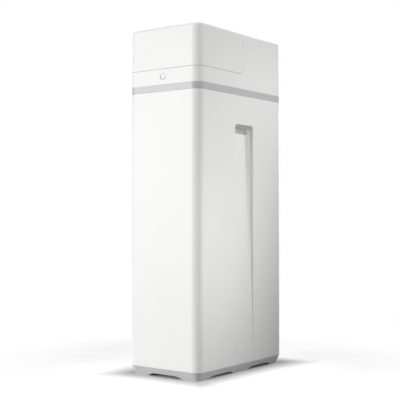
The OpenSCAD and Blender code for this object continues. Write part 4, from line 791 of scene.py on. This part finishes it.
# Amber beads of about 0.7 mm, drawn four times as coarse so that they can be told apart.
bead_mm = 2.8
resin_beads = bpy.data.materials.new("resin_beads")
resin_beads.use_nodes = True
tree = resin_beads.node_tree
shader = tree.nodes["Principled BSDF"]
place = add_node(tree, "ShaderNodeTexCoord").outputs["Object"]
beads = add_node(tree, "ShaderNodeTexVoronoi", {"Vector": place, "Scale": 1 / (bead_mm * mm)})
# Each bead is drawn pale in the middle and darker towards its edge: painted shade where the beads meet.
tint = add_node(tree, "ShaderNodeMix",
                {0: beads.outputs["Distance"], 6: linear("#C58B3A"), 7: linear("#7E4F17")}, data_type="RGBA")
bump = add_node(tree, "ShaderNodeBump", {"Height": beads.outputs["Distance"], "Distance": 0.5 * bead_mm * mm},
                invert=True)
tree.links.new(tint.outputs[2], shader.inputs["Base Color"])
tree.links.new(bump.outputs[0], shader.inputs["Normal"])
shader.inputs["Roughness"].default_value = 0.3
dress(resin_beads, "resin_bed")

# Nitrile rubber: deep black and dull, with no shine.
black_rubber = moulded_plastic("nitrile_rubber", "#1E1E1F", "#181819", roughness=0.75)
dress(black_rubber, "tank_boot", "neck_oring")
# Uncoloured polypropylene: a waxy, slightly yellow white.
natural = moulded_plastic("natural_polypropylene", "#E7E4DA", "#DDD9CC", roughness=0.45)
dress(natural, "riser_tube", "bottom_distributor", "top_strainer")

# Control valve
# The valve screwed onto the tank neck: a black nylon body and bonnet round two lapped ceramic discs. A geared
# motor turns the upper disc through its pinion and the white gear, and the red nozzle draws the brine.

# Lapped alumina: a dense, cool white with a polished face.
alumina = moulded_plastic("lapped_alumina", "#F1EEE8", "#EAE6DD", roughness=0.18, grain_mm=0.6,
                          relief_mm=0.004)
# White acetal: a slippery, faintly glossy engineering plastic.
white_acetal = moulded_plastic("white_acetal", "#EEECE4", "#E6E3D9", roughness=0.35)
# Red acetal of the parts that a hand or a fitter looks for.
red_acetal = moulded_plastic("red_acetal", "#B5322B", "#A92A24", roughness=0.35)
# Blue acetal of the flow meter's wheel.
blue_acetal = moulded_plastic("blue_acetal", "#3A86BC", "#3279AD", roughness=0.35)
dress(black_nylon, "valve_body", "valve_bonnet", "injector_cap")
dress(alumina, "fixed_disc", "moving_disc")
dress(white_acetal, "rotor_shaft", "drive_gear", "meter_spider")
dress(steel, "bonnet_screws", "motor_pinion", "drive_motor")
dress(red_acetal, "injector_nozzle")
dress(blue_acetal, "meter_turbine")

# Pipework
# The bypass block clipped to the valve's two ports, with a red quarter-turn handle over each plug. Nuts pull
# the brass pipe ends onto it; each has a G1 thread, 11 threads to the inch. The drain leaves beside them.
pipe_bore = 12.5 * mm
pipe_flange_t = 4 * mm
pipe_neck_r = 16.2 * mm
thread_r = 16.6 * mm
thread_d = 1.48 * mm
thread_pitch = 25.4 * mm / 11
thread_l = 24 * mm
thread_points = [(0.15, thread_d), (0.5, 0), (0.65, 0)]
pipe_steps = 64

# Turned brass: warm yellow with a bright machined shine.
brass = metal("turned_brass", "#CFA95B", "#B38C42", roughness=0.26, mark_mm=0.9)
dress(black_nylon, "bypass_body", "union_nuts", "drain_fitting")
dress(red_acetal, "inlet_handle", "outlet_handle")
dress(white_acetal, "coupling_clips")

for pipe in ("inlet", "outlet"):
    low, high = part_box(pipe + "_adapter")
    pipe_l = high.y - low.y
    flange_r = (high.x - low.x) / 2
    outline = [(pipe_bore, 0), (flange_r, 0), (flange_r, pipe_flange_t), (pipe_neck_r, pipe_flange_t)]
    h = pipe_l - thread_l
    outline.append((pipe_neck_r, h))
    while h + thread_pitch < pipe_l:
        outline += [(thread_r - deep, h + share * thread_pitch) for share, deep in thread_points]
        h += thread_pitch
    outline += [(thread_r - thread_d, pipe_l), (pipe_bore, pipe_l)]
    bm = bmesh.new()
    turned(bm, outline, ((low.x + high.x) / 2, low.y, (low.z + high.z) / 2), (0, 1, 0), closed=True,
           steps=pipe_steps)
    make_piece(bm, pipe + "_pipe_end", brass, "housing", "brass", pipe + "_adapter")

# Brine gear
# The white mouldings in the salt space: the grid that carries the salt, and the brine well with its cap, its
# foot valve, the red float on a steel rod, and the polyethylene tube that runs up to the control valve.

# Polyethylene tube: milky, smooth and a little shiny.
milky_tube = moulded_plastic("polyethylene_tube", "#EDEDE8", "#E4E4DD", roughness=0.3)
dress(natural, "salt_grid", "brine_well", "well_cap", "brine_valve", "brine_fitting")
dress(steel, "float_rod")
dress(red_acetal, "brine_float")
dress(milky_tube, "brine_tube")

# Overflow
# The black nylon safety overflow through the back wall of the cabinet: an elbow with a hose end, sealed by a
# rubber ring under a nut.
dress(black_nylon, "overflow_elbow", "overflow_nut")
dress(black_rubber, "overflow_gasket")

# Studio
# A white paper floor under soft lamps and spots. The camera and mirror rays see the floor and surroundings as
# white, with the cabinet's own soft shadow, deepened by painted shade under and close round the cabinet, where
# the floor's glow is left out. Other rays meet a duller floor, so that it lights the foot less.
scene = bpy.context.scene
scene.view_settings.view_transform = "Standard"
floor_size = 20
floor_glow = 0.58
glow_from, glow_to = -0.01, 0.12
fade_from, fade_to = 0.3, 0.9


def seen_directly(tree):
    """1 for rays from the camera, mirrors and clear pieces, and 0 for light that only brightens."""
    rays = add_node(tree, "ShaderNodeLightPath").outputs
    seen = add_node(tree, "ShaderNodeMath", {0: rays["Is Camera Ray"], 1: rays["Is Glossy Ray"]},
                    operation="MAXIMUM")
    seen = add_node(tree, "ShaderNodeMath", {0: seen.outputs[0], 1: rays["Is Transmission Ray"]},
                    operation="MAXIMUM")
    return seen.outputs[0]


world = bpy.data.worlds.new("studio")
scene.world = world
world.use_nodes = True
tree = world.node_tree
tree.nodes["Background"].inputs["Color"].default_value = (1, 1, 1, 1)
tree.links.new(seen_directly(tree), tree.nodes["Background"].inputs["Strength"])

bm = bmesh.new()
bmesh.ops.create_grid(bm, x_segments=1, y_segments=1, size=floor_size)
floor_mesh = bpy.data.meshes.new("floor")
bm.to_mesh(floor_mesh)
bm.free()
floor = bpy.data.objects.new("floor", floor_mesh)
scene.collection.objects.link(floor)
paper = bpy.data.materials.new("white_paper")
paper.use_nodes = True
floor_mesh.materials.append(paper)
tree = paper.node_tree
seen = seen_directly(tree)
shade = add_node(tree, "ShaderNodeMix", {0: seen, 6: linear("#A8A8A8"), 7: linear("#F4F4F4")},
                 data_type="RGBA")
dull = add_node(tree, "ShaderNodeBsdfDiffuse", {"Color": shade.outputs[2]})
place = add_node(tree, "ShaderNodeTexCoord").outputs["Object"]
away = add_node(tree, "ShaderNodeVectorMath", {0: place}, operation="LENGTH").outputs["Value"]
fade = add_node(tree, "ShaderNodeMapRange", {"Value": away, "From Min": fade_from, "From Max": fade_to},
                interpolation_type="SMOOTHSTEP")
# The floor's glow is left out under the cabinet and fades in over 12 cm past its sides: painted shade under
# and close round the foot.
reach = add_node(tree, "ShaderNodeVectorMath", {0: place}, operation="ABSOLUTE")
reach = add_node(tree, "ShaderNodeVectorMath", {0: reach.outputs[0], 1: (half_w, half_d, 0)},
                 operation="SUBTRACT")
reach = add_node(tree, "ShaderNodeSeparateXYZ", {0: reach.outputs[0]}).outputs
beside = add_node(tree, "ShaderNodeMath", {0: reach["X"], 1: reach["Y"]}, operation="MAXIMUM")
glow_past_painted_shade = add_node(tree, "ShaderNodeMapRange", {
    "Value": beside.outputs[0], "From Min": glow_from, "From Max": glow_to, "To Max": floor_glow},
    interpolation_type="SMOOTHSTEP")
glow_past_painted_shade = add_node(tree, "ShaderNodeMath", {0: seen, 1: glow_past_painted_shade.outputs[0]}, operation="MULTIPLY")
glow = add_node(tree, "ShaderNodeEmission", {"Color": (1, 1, 1, 1), "Strength": glow_past_painted_shade.outputs[0]})
lit = add_node(tree, "ShaderNodeAddShader", {0: dull.outputs[0], 1: glow.outputs[0]})
white = add_node(tree, "ShaderNodeEmission", {"Color": (1, 1, 1, 1), "Strength": 1.0})
far = add_node(tree, "ShaderNodeMath", {0: seen, 1: fade.outputs[0]}, operation="MULTIPLY")
mixed = add_node(tree, "ShaderNodeMixShader", {0: far.outputs[0], 1: lit.outputs[0], 2: white.outputs[0]})
tree.links.new(mixed.outputs[0], tree.nodes["Material Output"].inputs["Surface"])


def hang_lamp(data, place, aim):
    """Hangs a lamp at a place, turned towards a point and out of sight."""
    lamp = bpy.data.objects.new(data.name, data)
    lamp.location = place
    lamp.rotation_euler = (Vector(aim) - Vector(place)).to_track_quat("-Z", "Y").to_euler()
    lamp.visible_camera = False
    scene.collection.objects.link(lamp)


def soft_lamp(name, place, aim, size, watts):
    """A square soft lamp."""
    data = bpy.data.lights.new(name, "AREA")
    data.size = size
    data.energy = watts
    hang_lamp(data, place, aim)


def spot_lamp(name, place, aim, spread, watts):
    """A spot lamp with a soft edge, for one part of the cabinet."""
    data = bpy.data.lights.new(name, "SPOT")
    data.spot_size = math.radians(spread)
    data.spot_blend = 1.0
    data.shadow_soft_size = 0.25
    data.energy = watts
    hang_lamp(data, place, aim)


soft_lamp("left_lamp", (-7.5, -9.0, 1.7), (0, 0, 0.5), size=3.0, watts=1055)
soft_lamp("front_lamp", (-0.4, -1.6, 0.15), (0, 0, 0.15), size=0.8, watts=3.6)
soft_lamp("back_lamp", (-1.2, 7.0, 1.7), (0, 0, 0.6), size=2.5, watts=160)
soft_lamp("right_lamp", (2.4, -0.65, 4.8), (0, 0, 0.5), size=2.0, watts=10)
soft_lamp("near_side_lamp", (1.5, -0.6, 1.4), (0.14, -0.1, 0.6), size=1.6, watts=14.5)
spot_lamp("rear_side_lamp", (0.9, 0.9, 1.4), (0.14, 0, 0.7), spread=44, watts=36)
spot_lamp("low_side_lamp", (1.5, 0.2, 0.6), (0.14, -0.24, 0.33), spread=40, watts=28.5)
spot_lamp("top_lamp", (0, 0, 4.0), (0, 0, 1.1), spread=12, watts=160)

lens = bpy.data.cameras.new("camera")
lens.sensor_width = 36
lens.lens = 80.43
lens.shift_y = 0.035
camera = bpy.data.objects.new("camera", lens)
camera.location = (1.768, -2.418, 0.514)
camera.rotation_euler = (math.radians(90), 0, math.radians(36.7))
scene.collection.objects.link(camera)
scene.camera = camera
